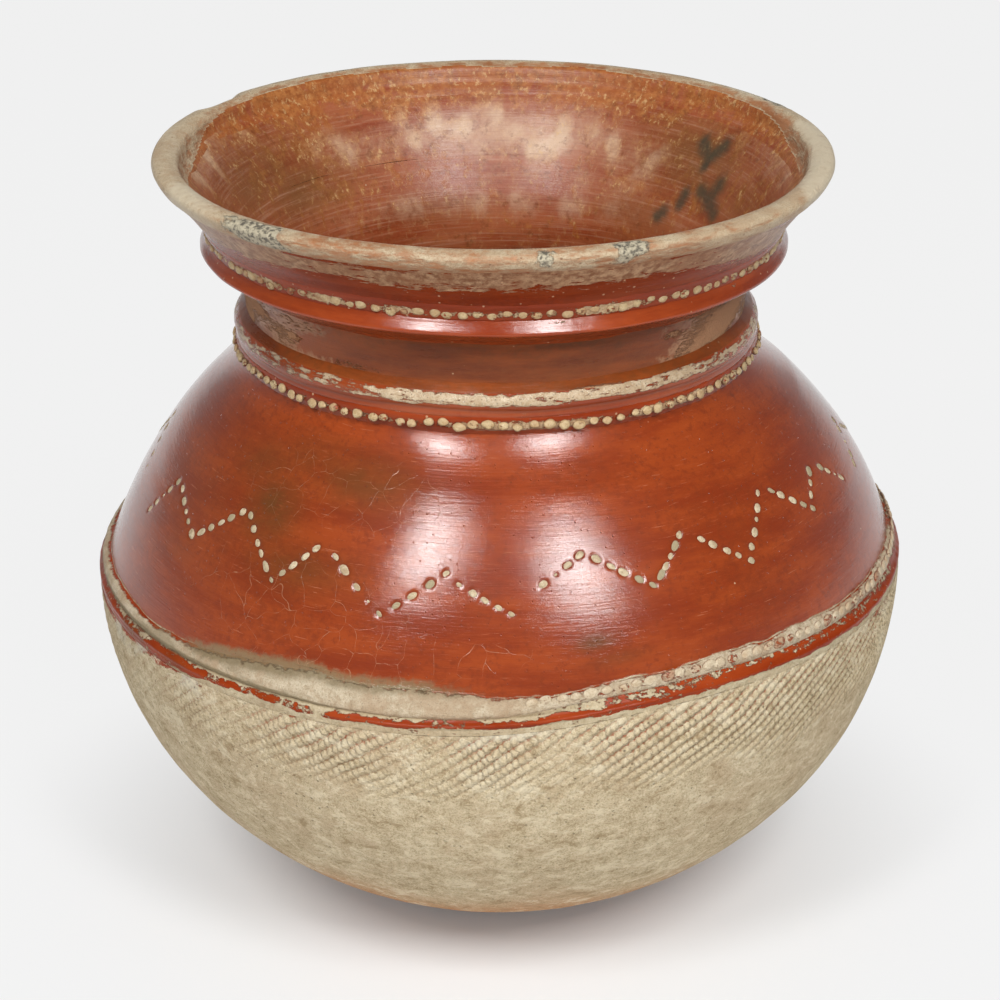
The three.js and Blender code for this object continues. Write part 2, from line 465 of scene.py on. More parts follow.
# Lays a colour over a finish, and raises its surface
def layColour(parts, share, colour):
    parts["colour"] = blend(share, parts["colour"], colour)


def layRelief(parts, shape, amount):
    parts["height"] = timesPlus(shape, amount, parts["height"])


# Fired clay with red slip over it. Painted layers: slip, stain, cloud, soot, pit and crumb; stain, soot and
# pit also carry painted light and shade in places
def clayFinish(name, look, extra=None):
    finish = bpy.data.materials.new(name)
    finish.use_nodes = True
    tree = bench["tree"] = finish.node_tree
    shader = tree.nodes["Principled BSDF"]
    place = put("TexCoord").outputs["Object"]
    fine = grain(place, 0.9, 3, 0.65)
    small = grain(place, 3.2, 4, 0.65)
    medium = grain(place, 10, 4, 0.6)
    broad = grain(place, 45, 3, 0.55)
    streaks = grain(place, 60, 5, 0.65, flat=look["brushStretch"])
    offSmall, offMedium, offStreaks = [minus(value, 0.5) for value in (small, medium, streaks)]
    # bare clay, mottled and gritty
    mottle = timesPlus(minus(fine, small), look["mottleFine"], small)
    clay = blend(rise(mottle, 0.34, 0.66), look["clayDark"], look["clayLight"])
    tint = rise(plus(broad, offMedium), 0.4, 0.68)
    clay = blend(times(tint, look["tintShare"]), clay, look["clayTint"])
    grit = rise(fine, 0.55, 0.7)
    clay = blend(times(grit, look["clayGrit"]), clay, look["gritColour"])
    # red slip, brushed on
    slip = blend(rise(streaks, 0.34, 0.66), look["slipDark"], look["slipLight"])
    tint = rise(plus(broad, offSmall), 0.44, 0.7)
    slip = blend(times(tint, 0.5), slip, look["slipTint"])
    edge = grain(place, look["raggedSize"], 5, 0.68, flat=look["raggedFlat"])
    edge = times(minus(edge, 0.5), look["ragged"])
    soft = look["coverSoft"]
    cover = rise(plus(painted("slip"), edge), 0.5 - soft, 0.5 + soft)
    colour = blend(cover, clay, slip)
    # flecks where the slip has worn through
    flecks = dots(place, look["fleckGap"], look["fleckSize"], look["fleckShare"])
    colour = blend(times(flecks, 0.7), colour, look["fleckColour"])
    # smoke and use; the stain and pit layers also carry painted light and shade in places
    cloudy = times(painted("cloud"), rise(medium, 0.25, 0.6, 0.6, 1.0))
    colour = blend(cloudy, colour, look["cloudColour"])
    stain = timesPlus(offSmall, look["stainRagged"], painted("stain"))
    stain = times(rise(stain, look["stainRagged"] / 3, 0.85), 0.85)
    colour = blend(stain, colour, look["stainColour"])
    crumb = rise(plus(painted("crumb"), offSmall), 0.45, 0.65)
    chips = grain(place, 1.9, 4, 0.6)
    crumbColour = blend(rise(chips, 0.38, 0.56), look["crumbDark"], look["crumbLight"])
    colour = blend(crumb, colour, crumbColour)
    pit = times(painted("pit"), 0.9)
    colour = blend(pit, colour, look["pitColour"])
    rough = rise(cover, 0.0, 1.0, look["clayRough"], look["slipRough"])
    rough = timesPlus(offStreaks, 0.2, rough)
    # grit and brush marks
    bumpy = timesPlus(small, look["smallBump"], fine)
    bumpy = times(bumpy, rise(cover, 0.0, 1.0, look["clayBump"], look["slipBump"]))
    lines = grain(place, 26, 4, 0.65, flat=look["lineStretch"])
    height = timesPlus(lines, look["lineBump"], bumpy)
    height = timesPlus(times(crumb, chips), 2.0, height)
    parts = {"place": place, "colour": colour, "rough": rough, "height": height,
             "cover": cover, "small": small, "medium": medium}
    if extra:
        extra(parts)
    # soot; on the neck and flange it also carries painted shade under ledges
    sooty = timesPlus(offSmall, 0.7, painted("soot"))
    sooty = times(rise(sooty, 0.1, 1.15), 0.9)
    layColour(parts, sooty, look["sootColour"])
    bump = put("Bump", {"Height": parts["height"], "Strength": 1.0, "Distance": look["bumpDepth"] * mm})
    feed(shader.inputs["Base Color"], parts["colour"])
    feed(shader.inputs["Roughness"], parts["rough"])
    feed(shader.inputs["Normal"], bump.outputs[0])
    shader.inputs["Specular IOR Level"].default_value = look["gloss"]
    if look["coat"]:
        shader.inputs["Coat Weight"].default_value = look["coat"]
        shader.inputs["Coat Roughness"].default_value = look["coatRough"]
        feed(shader.inputs["Coat Normal"], bump.outputs[0])
    return finish


baseLook = {
    "clayDark": (176, 152, 118), "clayLight": (204, 186, 154),
    "clayTint": (178, 152, 120), "tintShare": 0.4,
    "gritColour": (126, 104, 78), "clayGrit": 0.5,
    "slipDark": (128, 40, 10), "slipLight": (156, 56, 18), "slipTint": (140, 50, 14),
    "mottleFine": 0.0, "coverSoft": 0.06, "smallBump": 1.8, "stainRagged": 0.9,
    "brushStretch": 9, "ragged": 0.9, "raggedSize": 6, "raggedFlat": 1.8,
    "fleckGap": 6, "fleckSize": 0.7, "fleckShare": 0.08, "fleckColour": (206, 172, 136),
    "cloudColour": (102, 58, 22), "stainColour": (126, 112, 86),
    "crumbDark": (104, 97, 84), "crumbLight": (190, 179, 154),
    "pitColour": (92, 50, 28), "sootColour": (58, 52, 42),
    "clayRough": 0.88, "slipRough": 0.34, "clayBump": 1.0, "slipBump": 0.06,
    "lineStretch": 30, "lineBump": 0.25, "bumpDepth": 0.5, "gloss": 0.5,
    "coat": 0.0, "coatRough": 0.12,
}


# Bowl: gritty buff clay, rolled with a knotted cord below the brim
bowl = {
    "coarse": 210, "middle": 630, "fine": 1260,  # points round a ring
    "lowGap": 4.2 * mm, "bandGap": 0.9 * mm, "bandDepth": 44 * mm, "innerGap": 16 * mm,
    "strings": 136, "stringsPerDrop": 0.178, "slantChange": 0.24,  # strings round the jar, and per mm down
    "knotPitch": 3.0, "cordDepth": 0.7 * mm, "rough": 0.22 * mm,
    "pocks": [(9, 92, 1.3, 3.2), (7.5, 71, 1.6, 3), (-31, 100, 1.2, 3)], "pockDepth": 0.8 * mm,
    "lineColour": (134, 102, 66), "redLineColour": (156, 72, 38), "knotColour": (230, 212, 174),
    "pitColour": (112, 98, 74), "paleColour": (228, 214, 184), "brownColour": (158, 134, 98),
    "wornFrom": -66, "wornTo": -18, "wornShare": 0.65,  # the left side is rubbed smooth between these angles
    "fadeStart": 20, "fadeEnd": 42,  # mm below the brim
    "warmHeight": 72,  # the clay is warmer below this height
}


def bowlSection():
    coarse, middle, fine = bowl["coarse"], bowl["middle"], bowl["fine"]
    run = lengthAlong(bowlOuter)[-1]
    plain = (run - bowl["bandDepth"], bowl["lowGap"], middle)
    lengths, counts = ringPlan(plain, (run, bowl["bandGap"], fine))
    bottom = [(0, 0), (0.4 * jar["restRadius"], 0), (0.8 * jar["restRadius"], 0)]
    rebate = [(shoulderFootRadius, brimZ), (shoulderFootRadius, bellyZ)]
    inner = evenly(bowlInner, bowl["innerGap"])[::-1]
    floor = [(0, jar["floorThickness"])]
    section = np.concatenate([bottom, spaced(bowlOuter, lengths), rebate, inner, floor])
    counts = [1, coarse, coarse] + counts + [middle, coarse] + [coarse] * len(inner) + [1]
    outside = len(bottom) + len(lengths)
    drops = np.full(len(section), 100.0)
    drops[len(bottom):outside] = (run - lengths) / mm
    return section, counts, drops, outside


# The rolled cord: how far each point stands up, and where it is pressed in
def rollCord(clay, drop):
    slant = bowl["stringsPerDrop"] * (1 + bowl["slantChange"] * np.sin(clay.theta))
    shift = np.minimum(drop, 100) * slant + 0.5 * lumps(clay.level, 45, 21) + 0.2 * lumps(clay.level, 13, 24)
    phase = bowl["strings"] * clay.theta / turn + shift
    fade = 1 - ease(drop + 7 * lumps(clay.level, 26, 22), bowl["fadeStart"], bowl["fadeEnd"])
    worn = 0.7 * ease(lumps(clay.level, 30, 23), 0.0, 0.7)
    rubbed = bowl["wornShare"] * facing(clay, -170, -120, bowl["wornFrom"], bowl["wornTo"])
    clay.drop, clay.shift = drop, shift
    clay.pressed = fade * (1 - worn) * (1 - rubbed) * ease(drop, -2, 5)
    return -0.1 - 0.5 * np.cos(turn * phase)


def bowlRelief(clay):
    cord = rollCord(clay, bowlDrops[clay.row])
    push = bowl["cordDepth"] * clay.pressed * cord
    push += bowl["rough"] * roughLumps(clay.level, 12, 31) * ease(clay.height, 4, 20)
    push -= bowl["pockDepth"] * patches(clay, bowl["pocks"])
    return push * (clay.row < bowlOutside)


# Dark lines between the strings, where the relief is low: painted shade in the grooves, partly red slip left
# in them; and the knots along each string
def cordLines(parts):
    x, y = put("SeparateXYZ", {0: parts["place"]}).outputs[:2]
    theta = calc("ARCTAN2", x, times(y, -1.0))
    phase = timesPlus(theta, bowl["strings"] / turn, painted("shift"))
    off = calc("PINGPONG", phase, 0.5)
    along = times(theta, 0.85 * brimRadius / mm / bowl["knotPitch"])
    along = timesPlus(painted("drop"), -0.5 / bowl["knotPitch"], along)
    start = times(calc("POWER", calc("ABSOLUTE", calc("FLOOR", phase)), 2.0), 0.318)
    along = plus(start, along)
    along = timesPlus(parts["medium"], 2.2, along)
    ends = timesPlus(calc("FRACT", along), 2.0, -1.0)
    across = timesPlus(off, -2.0, 1.0)
    knot = timesPlus(minus(parts["small"], 0.5), 1.1, 1.0)
    knot = minus(knot, times(across, across))
    knot = minus(knot, times(times(ends, ends), 0.55))
    patchy = times(painted("pressed"), rise(parts["small"], 0.36, 0.56, 0.35, 1.0))
    # painted groove shade, brown, or red where slip stayed in the grooves
    dark = times(rise(knot, 0.32, -0.15), patchy)
    lineColour = blend(painted("redPit"), bowl["lineColour"], bowl["redLineColour"])
    layColour(parts, times(dark, 0.85), lineColour)
    pale = times(rise(knot, 0.2, 0.9), painted("pressed"))
    layColour(parts, times(pale, 0.45), bowl["knotColour"])
    layRelief(parts, dark, -0.7)
    layRelief(parts, pale, 1.1)


def bowlExtra(parts):
    place = parts["place"]
    cordLines(parts)
    pits = dots(place, 3.4, 0.6, 0.35)
    layColour(parts, times(pits, 0.55), bowl["pitColour"])
    layRelief(parts, pits, -1.0)
    smears = grain(place, 12, 8, 0.84, 0.4, flat=1.5)
    pale = times(rise(smears, 0.51, 0.6), 0.8)
    layColour(parts, pale, bowl["paleColour"])
    brown = times(rise(smears, 0.47, 0.37), 0.75)
    layColour(parts, brown, bowl["brownColour"])


bowlLook = dict(
    baseLook, clayDark=(172, 152, 118), clayLight=(230, 213, 180), mottleFine=0.7,
    clayTint=(196, 172, 140), tintShare=0.45, gritColour=(130, 112, 84), clayGrit=0.6,
    cloudColour=(188, 122, 74), stainColour=(212, 204, 184), slipRough=0.6, slipBump=0.5,
    ragged=1.3, raggedSize=4, fleckShare=0.0, gloss=0.2, lineBump=0.2, lineStretch=6, smallBump=0.8,
    bumpDepth=0.75, clayRough=0.92)


def paintCord(clay):
    for layer in ("shift", "drop"):
        values = clay.piece.data.attributes.new(layer, "FLOAT", "POINT").data
        values.foreach_set("value", getattr(clay, layer).astype(np.float32))
    paint(clay, "redPit", 1 - ease(clay.drop + 6 * lumps(clay.level, 20, 36), 4, 22))


bowlRows, bowlCounts, bowlDrops, bowlOutside = bowlSection()


def buildBowl():
    clay = turnClay("bowl_clay", bowlRows, bowlCounts, bowlRelief, ring=False, shown=bowlOutside)
    level, drop = clay.level, clay.drop
    outside = clay.row < bowlOutside
    near = 1 - ease(drop + 3 * lumps(level, 16, 33), 0, 8)
    smear = ease(lumps(level, 22, 34), -0.2, 0.5)
    left = facing(clay, -150, -120, -50, -34)
    band = 0.75 * left * (1 - ease(drop + 1.6 * lumps(level, 12, 38), 1, 4.5))
    paint(clay, "slip", outside * np.maximum(near * (0.2 + 0.3 * smear), band))
    paintCord(clay)
    paint(clay, "pressed", outside * clay.pressed)
    warm = 1 - ease(clay.height + 12 * lumps(level, 40, 35), 10, bowl["warmHeight"])
    paint(clay, "cloud", outside * warm)
    spill = (1 - ease(drop, 3, 16)) * ease(lumps(level, 15, 37), -0.1, 0.5)
    spill = spill * (0.75 - 0.3 * np.sin(clay.theta))
    # whitish overspill under the brim, and a paler patch on the left that is painted light
    paint(clay, "stain", outside * np.maximum(spill, 0.3 * patch(clay, -58, 105, 30, 70)))
    fire(clay, "base_bowl", "grit_buff", clayFinish("gritty buff clay", bowlLook, bowlExtra))


buildBowl()


# Lumps of clay in one piece; each pellet has a place, three directions and three half sizes
def buildPellets(name, pellets, seed):
    around, rings = 16, 7
    draw = np.random.default_rng(seed)
    ring = np.arange(around) / around * turn
    lift = -np.cos(np.arange(1, rings + 1) / (rings + 1) * math.pi)
    reach = np.sqrt(1 - lift**2) ** 0.75
    woven = weave([1] + [around] * rings + [1], False)
    count = 2 + rings * around
    cells = math.ceil(math.sqrt(len(pellets)))
    places, faces, maps = [], [], []
    for number, (middle, long, short, outward, half, width, thick) in enumerate(pellets):
        starts, sizes = draw.uniform(0, turn, 3), draw.uniform(0.01, 0.06, 3)
        bulge = 1 + sum(size * np.cos(fold * ring + at) for fold, size, at in zip((2, 3, 4), sizes, starts))
        across = reach[:, None] * bulge[None] * draw.uniform(0.98, 1.02, (rings, around))
        shell = middle + (across * np.cos(ring))[..., None] * long * half
        shell = shell + (across * np.sin(ring))[..., None] * short * width
        shell = shell + lift[:, None, None] * outward * thick
        tips = [middle - outward * thick], [middle + outward * thick]
        places.append(np.concatenate([tips[0], shell.reshape(-1, 3), tips[1]]))
        cell = np.array([number % cells, number // cells]) + 0.06
        for part, turns, rows in woven:
            faces.append(part + number * count)
            maps.append((cell + 0.88 * np.stack([turns, rows / (rings + 1)], 2)) / cells)
    piece = makePiece(name, np.concatenate(places), faces, maps)
    shade = np.repeat(draw.uniform(0, 1, len(pellets)), count)
    lift = np.tile(np.concatenate([[-1], np.repeat(lift, around), [1]]), len(pellets))
    return SimpleNamespace(piece=piece, lift=lift, shade=shade)


# Zigzag of pressed dots round the shoulder: strokes run from one end (angle, height) to the other
zigzag = {
    "strokes": [  # start, end, dots
        ((-71, 205), (-66.5, 221), 5), ((-64, 220.5), (-55.5, 210), 5), ((-53.5, 212.5), (-46.5, 225.5), 5),
        ((-44.5, 225.5), (-36, 207.5), 6), ((-34.5, 211), (-30, 222), 4), ((-26.5, 221), (-17.5, 204), 5),
        ((-15.5, 207.5), (-8.5, 220), 4), ((-6.5, 216.5), (1.5, 206), 5), ((6, 216), (12, 225), 4),
        ((14.5, 223), (22.5, 210), 5), ((24, 213), (29, 226), 5), ((32.5, 222.5), (40, 209), 5),
        ((41, 214), (47.5, 231), 5), ((50.5, 230), (58, 216), 5), ((59.5, 220.5), (63, 227.5), 3),
        ((67, 225.5), (71.5, 216), 4)],
    "backStart": 80, "backEnd": 277, "backStrokes": 22,  # the unseen side carries on the same way
    "lowHeight": 208, "highHeight": 224, "stagger": 4,
    "halfLength": 2.35, "halfWidth": 1.55, "dentDepth": 0.36 * mm, "thickness": 0.55 * mm, "sink": 0.42 * mm,
    "radius": 150, "slope": 1.22,  # of the wall there; slope is mm along it for each mm of height
    "strokeGap": 0.8,  # degrees
}


def zigzagDots():
    draw = np.random.default_rng(41)
    strokes = list(zigzag["strokes"])
    corners = np.linspace(zigzag["backStart"], zigzag["backEnd"], zigzag["backStrokes"] + 1)
    for index in range(zigzag["backStrokes"]):
        heights = [zigzag["lowHeight"], zigzag["highHeight"]]
        if index % 2:
            heights.reverse()
        heights = heights + zigzag["stagger"] * draw.uniform(-1, 1, 2)
        start, end = corners[index] + zigzag["strokeGap"], corners[index + 1] - zigzag["strokeGap"]
        strokes.append(((start, heights[0]), (end, heights[1]), 5))
    made = []
    for (startAngle, startHeight), (endAngle, endHeight), count in strokes:
        across = math.radians(endAngle - startAngle) * zigzag["radius"]
        up = (endHeight - startHeight) * zigzag["slope"]
        run = math.hypot(across, up)
        for share in np.linspace(0, 1, count):
            share = np.clip(share + draw.uniform(-0.03, 0.03), 0, 1)
            size = draw.choice([0.4, 0.7, 0.9, 1.0, 1.15], p=[0.1, 0.15, 0.35, 0.25, 0.15])
            made.append(SimpleNamespace(
                angle=startAngle + share * (endAngle - startAngle),
                height=startHeight + share * (endHeight - startHeight), across=across / run, up=up / run,
                half=zigzag["halfLength"] * size * draw.uniform(0.85, 1.15),
                width=zigzag["halfWidth"] * size * draw.uniform(0.85, 1.15)))
    return made


dotList = zigzagDots()


# Shoulder: red slip burnished to a gloss
shoulder = {
    "coarse": 210, "middle": 630, "fine": 1260,
    "plainGap": 1.8 * mm, "bandGap": 0.85 * mm, "innerGap": 8 * mm,
    "bandLow": 201 * mm, "bandHigh": 234 * mm, "swell": 0.16 * mm, "brushed": 0.05 * mm,
    "mottleColour": (118, 44, 14), "scuffColour": (186, 92, 52), "scratchColour": (206, 132, 96),
    "speckColour": (84, 44, 20), "crackColour": (212, 162, 124),
    "clouds": [  # angle, height, half spans and strength
        (-41, 230, 6, 12, 1.0), (-25, 246, 11, 9, 0.8), (-33, 214, 10, 8, 0.7), (-47, 243, 10, 10, 0.55),
        (-58, 204, 6, 9, 0.4), (-36, 250, 14, 8, 0.5), (-62, 220, 22, 40, 0.3), (13, 192, 2.6, 3.2, 1.0),
        (16, 184, 4, 3, 0.5), (150, 215, 14, 14, 0.7), (-120, 205, 10, 12, 0.6), (96, 236, 9, 8, 0.5)],
    "crazing": [
        (-33, 200, 20, 22), (-20, 190, 18, 14), (-38, 240, 12, 16), (-4, 190, 10, 8), (-18, 240, 12, 14),
        (160, 205, 22, 20), (-130, 225, 16, 16)],
}


def shoulderSection():
    middle, plain = shoulder["middle"], shoulder["plainGap"]
    run = lengthAlong(shoulderOuter)
    low, high = np.interp([shoulder["bandLow"], shoulder["bandHigh"]], shoulderOuter[:, 1], run)
    band = (high, shoulder["bandGap"], shoulder["fine"])
    lengths, counts = ringPlan((low, plain, middle), band, (run[-1], plain, middle))
    inner = evenly(shoulderInner, shoulder["innerGap"])[::-1]
    section = np.concatenate([spaced(shoulderOuter, lengths), inner])
    return section, counts + [shoulder["coarse"]] * len(inner), len(lengths)


def shoulderRelief(clay):
    push = shoulder["swell"] * lumps(clay.level, 34, 51)
    push += shoulder["brushed"] * lumps(clay.level * [1, 1, 3], 16, 52)
    push *= ease(neckFootZ / mm - clay.height, 0, 8)
    rim = np.zeros(len(push))
    for dot in dotList:
        near = (np.abs(turnFrom(clay, dot.angle)) < 3) & (np.abs(clay.height - dot.height) < 7)
        near &= clay.radius > wallRadius(dot.height * mm) / mm - 8
        across = np.radians(turnFrom(clay, dot.angle)[near]) * clay.radius[near]
        up = (clay.height[near] - dot.height) * zigzag["slope"]
        along = across * dot.across + up * dot.up
        side = across * dot.up - up * dot.across
        off = np.hypot(along / (dot.half + 0.2), side / (dot.width + 0.2))
        push[near] -= zigzag["dentDepth"] * (1 - ease(off, 0.6, 1.25))
        rim[near] = np.maximum(rim[near], 1 - ease(off, 0.95, 1.35))
    clay.rim = rim
    return push


# Where the red slip of the shoulder gives way to the cream band round the belly
def bellyFade(clay):
    banded = facing(clay, -150, -130, -12, 10)
    wander = 1.3 * lumps(clay.level, 22, 61) + 0.6 * lumps(clay.level, 7, 64)
    right = ease(clay.angle, 4, 20) + 1 - ease(clay.angle, -150, -130)
    edge = 174.0 + banded * (5.2 * ease(clay.angle, -54, -24) - 0.4) + 1.8 * right + wander
    smoke = banded * bell(clay.height, edge, 4.2) * ease(clay.angle, -58, -40)
    soft = 1.4 + 1.8 * banded * ease(clay.angle, -58, -40)
    return ease(clay.height, edge - soft, edge + soft), smoke * (0.65 + 0.35 * patch(clay, -38, 178, 22, 60))


def shoulderExtra(parts):
    place = parts["place"]
    # rubbed mottling, dark specks and light scratches in the slip
    mottled = times(rise(parts["small"], 0.5, 0.72), 0.4)
    layColour(parts, times(mottled, parts["cover"]), shoulder["mottleColour"])
    scuffs = grain(place, 7, 6, 0.75, flat=9)
    light = times(rise(scuffs, 0.56, 0.74), 0.4)
    layColour(parts, times(light, parts["cover"]), shoulder["scuffColour"])
    scratches = grain(place, 16, 4, 0.7, flat=26)
    scratches = times(rise(scratches, 0.64, 0.7), 0.4)
    layColour(parts, times(scratches, parts["cover"]), shoulder["scratchColour"])
    specks = times(dots(place, 4.2, 0.45, 0.2), 0.6)
    layColour(parts, specks, shoulder["speckColour"])
    # fine pale cracks
    warp = put("TexNoise", {"Vector": place, "Scale": 1 / (26 * mm), "Detail": 2.0}).outputs["Color"]
    shifted = put("VectorMath", {0: warp, 1: (0.022,) * 3, 2: place}, operation="MULTIPLY_ADD")
    cells = put("TexVoronoi", {"Vector": shifted.outputs[0], "Scale": 1 / (14 * mm)},
                feature="DISTANCE_TO_EDGE")
    crack = rise(cells.outputs["Distance"], 0.009, 0.001)
    shown = plus(painted("craze"), minus(parts["medium"], 0.5))
    crack = times(crack, rise(shown, 0.3, 0.75))
    crack = times(crack, rise(parts["small"], 0.42, 0.58, 0.06, 0.36))
    layColour(parts, crack, shoulder["crackColour"])
    pinholes = dots(place, 2.6, 0.45, 0.35)
    layRelief(parts, pinholes, -0.7)
    layRelief(parts, scuffs, 0.2)
    layRelief(parts, crack, -0.3)
    uneven = minus(scuffs, 0.5)
    parts["rough"] = timesPlus(uneven, 0.3, parts["rough"])


shoulderLook = dict(
    baseLook, slipDark=(130, 46, 10), slipLight=(153, 63, 17), slipTint=(128, 50, 13),
    clayDark=(164, 146, 116), clayLight=(206, 192, 162), stainColour=(134, 116, 84),
    fleckGap=9, fleckSize=0.55, fleckShare=0.10, slipRough=0.42, clayRough=0.6, slipBump=0.03,
    lineStretch=45, lineBump=0.28, brushStretch=5, bumpDepth=0.3, pitColour=(98, 40, 18),
    coverSoft=0.16, ragged=0.7, raggedSize=5, raggedFlat=2.5, gloss=0.13, coat=0.95, coatRough=0.04)
shoulderFinish = clayFinish("burnished red slip", shoulderLook, shoulderExtra)


def buildShoulder():
    section, counts, outsideRows = shoulderSection()
    clay = turnClay("shoulder_clay", section, counts, shoulderRelief, strips=3, shown=outsideRows, corner=40)
    outside = clay.row < outsideRows
    level = clay.level
    red, smoke = bellyFade(clay)
    paint(clay, "slip", np.where(outside, 0.1 + 0.9 * red, 0.35 + 0.2 * lumps(level, 30, 62)))
    paint(clay, "cloud", patches(clay, shoulder["clouds"]))
    paint(clay, "craze", patches(clay, shoulder["crazing"]))
    # dark rims round the pressed dents: painted shade
    paint(clay, "pit", 0.5 * clay.rim)
    paint(clay, "stain", outside * smoke)
    fire(clay, "shoulder_wall", "burnished_red", shoulderFinish)


buildShoulder()


def buildZigzag():
    pellets = []
    nudge = 0.5 * mm
    for dot in dotList:
        theta = math.radians(dot.angle) + np.array([0, nudge / (zigzag["radius"] * mm), 0])
        z = dot.height * mm + np.array([0, 0, nudge])
        middle, beside, above = settle(theta, wallRadius(z), z)
        side = (beside - middle) / np.linalg.norm(beside - middle)
        up = (above - middle) / np.linalg.norm(above - middle)
        outward = np.cross(side, up)
        long = side * dot.across + up * dot.up
        pellets.append((middle - zigzag["sink"] * outward, long, np.cross(outward, long), outward,
                        dot.half * mm, dot.width * mm, zigzag["thickness"]))
    clay = buildPellets("zigzag_inlay", pellets, 43)
    paint(clay, "stain", 0.7 * ease(clay.shade, 0.3, 1))
    look = dict(baseLook, clayDark=(174, 152, 120), clayLight=(212, 197, 166), tintShare=0.2,
                stainColour=(150, 138, 108), clayGrit=0.4, fleckShare=0.0, bumpDepth=0.4)
    fire(clay, None, "worn_kaolin", clayFinish("white clay inlay", look))


buildZigzag()


# Neck: brushed red-brown slip, seen outside between the coils and inside through the mouth
neck = {
    "columns": 630, "outerGap": 1.2 * mm, "innerGap": 1.6 * mm, "footTop": 269 * mm,
    "turned": 0.11 * mm, "swell": 0.14 * mm,
    "brushColour": (188, 144, 118), "speckColour": (208, 168, 116), "lineColour": (108, 46, 22),
    "darkColour": (112, 58, 26),
    "flakes": [
        (-62, 299, 4, 3), (-48, 294, 3, 2), (41, 299, 2.5, 2), (56, 291, 5, 3), (66, 300, 4, 4),
        (-74, 290, 5, 5), (20, 289, 1.6, 1.4), (-12, 303, 2, 1.2), (120, 296, 5, 4), (-140, 298, 6, 4)],
    # inside: angle, height, half spans and strength of olive patches and pale washes; the washes at ±98
    # degrees are painted sheen, and the large one at the back is partly painted sheen
    "olive": [
        (-126, 315, 18, 14, 0.8), (-114, 326, 24, 18, 0.7), (128, 328, 18, 18, 0.75), (104, 318, 14, 20, 0.4),
        (140, 300, 14, 9, 0.4), (-160, 296, 16, 8, 0.35)],
    "sheenAndWashes": [
        (178, 327, 34, 13, 0.95), (-150, 325, 20, 12, 0.6), (146, 322, 16, 13, 0.55),
        (-98, 348, 26, 17, 0.62), (98, 348, 26, 17, 0.62), (165, 310, 40, 10, 0.4), (175, 297, 60, 9, 0.45)],
    # start, end and width of smoke marks
    "soot": [
        ((121.5, 336), (124.5, 329.5), 2.6), ((124.5, 329.5), (128, 335), 2.4),
        ((124.5, 330), (124.5, 326), 2.0), ((116.5, 321), (117.5, 314), 3.2),
        ((117.5, 314), (122, 316.5), 2.4), ((117, 314), (113, 310), 2.6),
        ((126.5, 313), (127, 308), 2.2), ((131.5, 303), (133, 300), 2.2)],
}


def neckRelief(clay):
    turned = neck["turned"] * lumps(clay.level * [1, 1, 9], 30, 71)
    turned += neck["swell"] * roughLumps(clay.level, 20, 72)
    return turned * ease(clay.height - neckFootZ / mm, 0, 8)


# A wall of the neck or the mouth, from its outer and inner lines
def turnWall(name, outerLine, innerLine, shape):
    outer, inner = evenly(outerLine, shape["outerGap"]), evenly(innerLine, shape["innerGap"])[::-1]
    clay = turnClay(name, np.concatenate([outer, inner]), shape["columns"], neckRelief, corner=40)
    clay.outer, clay.inside = outer, clay.row >= len(outer)
    clay.insideFaces = clay.faceRow >= len(outer)
    return clay


def insideExtra(parts):
    place = parts["place"]
    # faint brush lines in whole slip, and a speckle where it is worn
    lines = grain(place, 42, 5, 0.72, flat=36)
    pale = times(rise(lines, 0.5, 0.7), rise(parts["cover"], 0.3, 1.0, 0.0, 0.42))
    layColour(parts, pale, neck["brushColour"])
    bare = rise(parts["cover"], 0.0, 1.0, 0.65, 0.16)
    specks = rise(grain(place, 2.6, 5, 0.7, flat=0.6), 0.54, 0.66)
    layColour(parts, times(specks, bare), neck["speckColour"])
    layColour(parts, rise(lines, 0.46, 0.34, 0.0, 0.24), neck["lineColour"])
    dark = rise(grain(place, 5, 5, 0.7), 0.48, 0.3)
    layColour(parts, times(dark, 0.55), neck["darkColour"])


# brushed neck slip; its stain colour is the paler tone painted on the lit sides, painted light
neckLook = dict(
    baseLook, slipDark=(114, 52, 18), slipLight=(146, 72, 28), slipTint=(128, 68, 30),
    clayDark=(142, 94, 62), clayLight=(172, 126, 92), slipRough=0.3, slipBump=0.1, brushStretch=6,
    lineStretch=40, lineBump=0.22, fleckShare=0.16, fleckGap=5, fleckSize=0.5, ragged=1.0, raggedSize=4,
    raggedFlat=4, coverSoft=0.14, gloss=0.3, sootColour=(66, 40, 20),
    stainColour=(174, 128, 94), stainRagged=1.2)
neckFinish = clayFinish("brushed red slip", neckLook)
# inside finish: its stain colour is the pale wash, which is partly painted sheen
insideLook = dict(
    baseLook, slipDark=(138, 60, 30), slipLight=(162, 90, 56), slipTint=(150, 82, 48),
    clayDark=(146, 80, 34), clayLight=(178, 114, 60), clayTint=(160, 82, 34),
    tintShare=0.5, clayGrit=0.3, gritColour=(116, 68, 34), stainColour=(210, 180, 150),
    cloudColour=(112, 74, 38), sootColour=(64, 60, 46), slipRough=0.4, clayRough=0.46,
    clayBump=0.12, brushStretch=5, lineStretch=40, lineBump=0.2, fleckShare=0.05,
    fleckGap=5, fleckSize=0.5, fleckColour=(222, 192, 160), coverSoft=0.22, ragged=1.8,
    raggedSize=5, raggedFlat=0.6, gloss=0.4, coat=0.12, coatRough=0.2, stainRagged=0.35)
insideFinish = clayFinish("brushed red inside", insideLook, insideExtra)


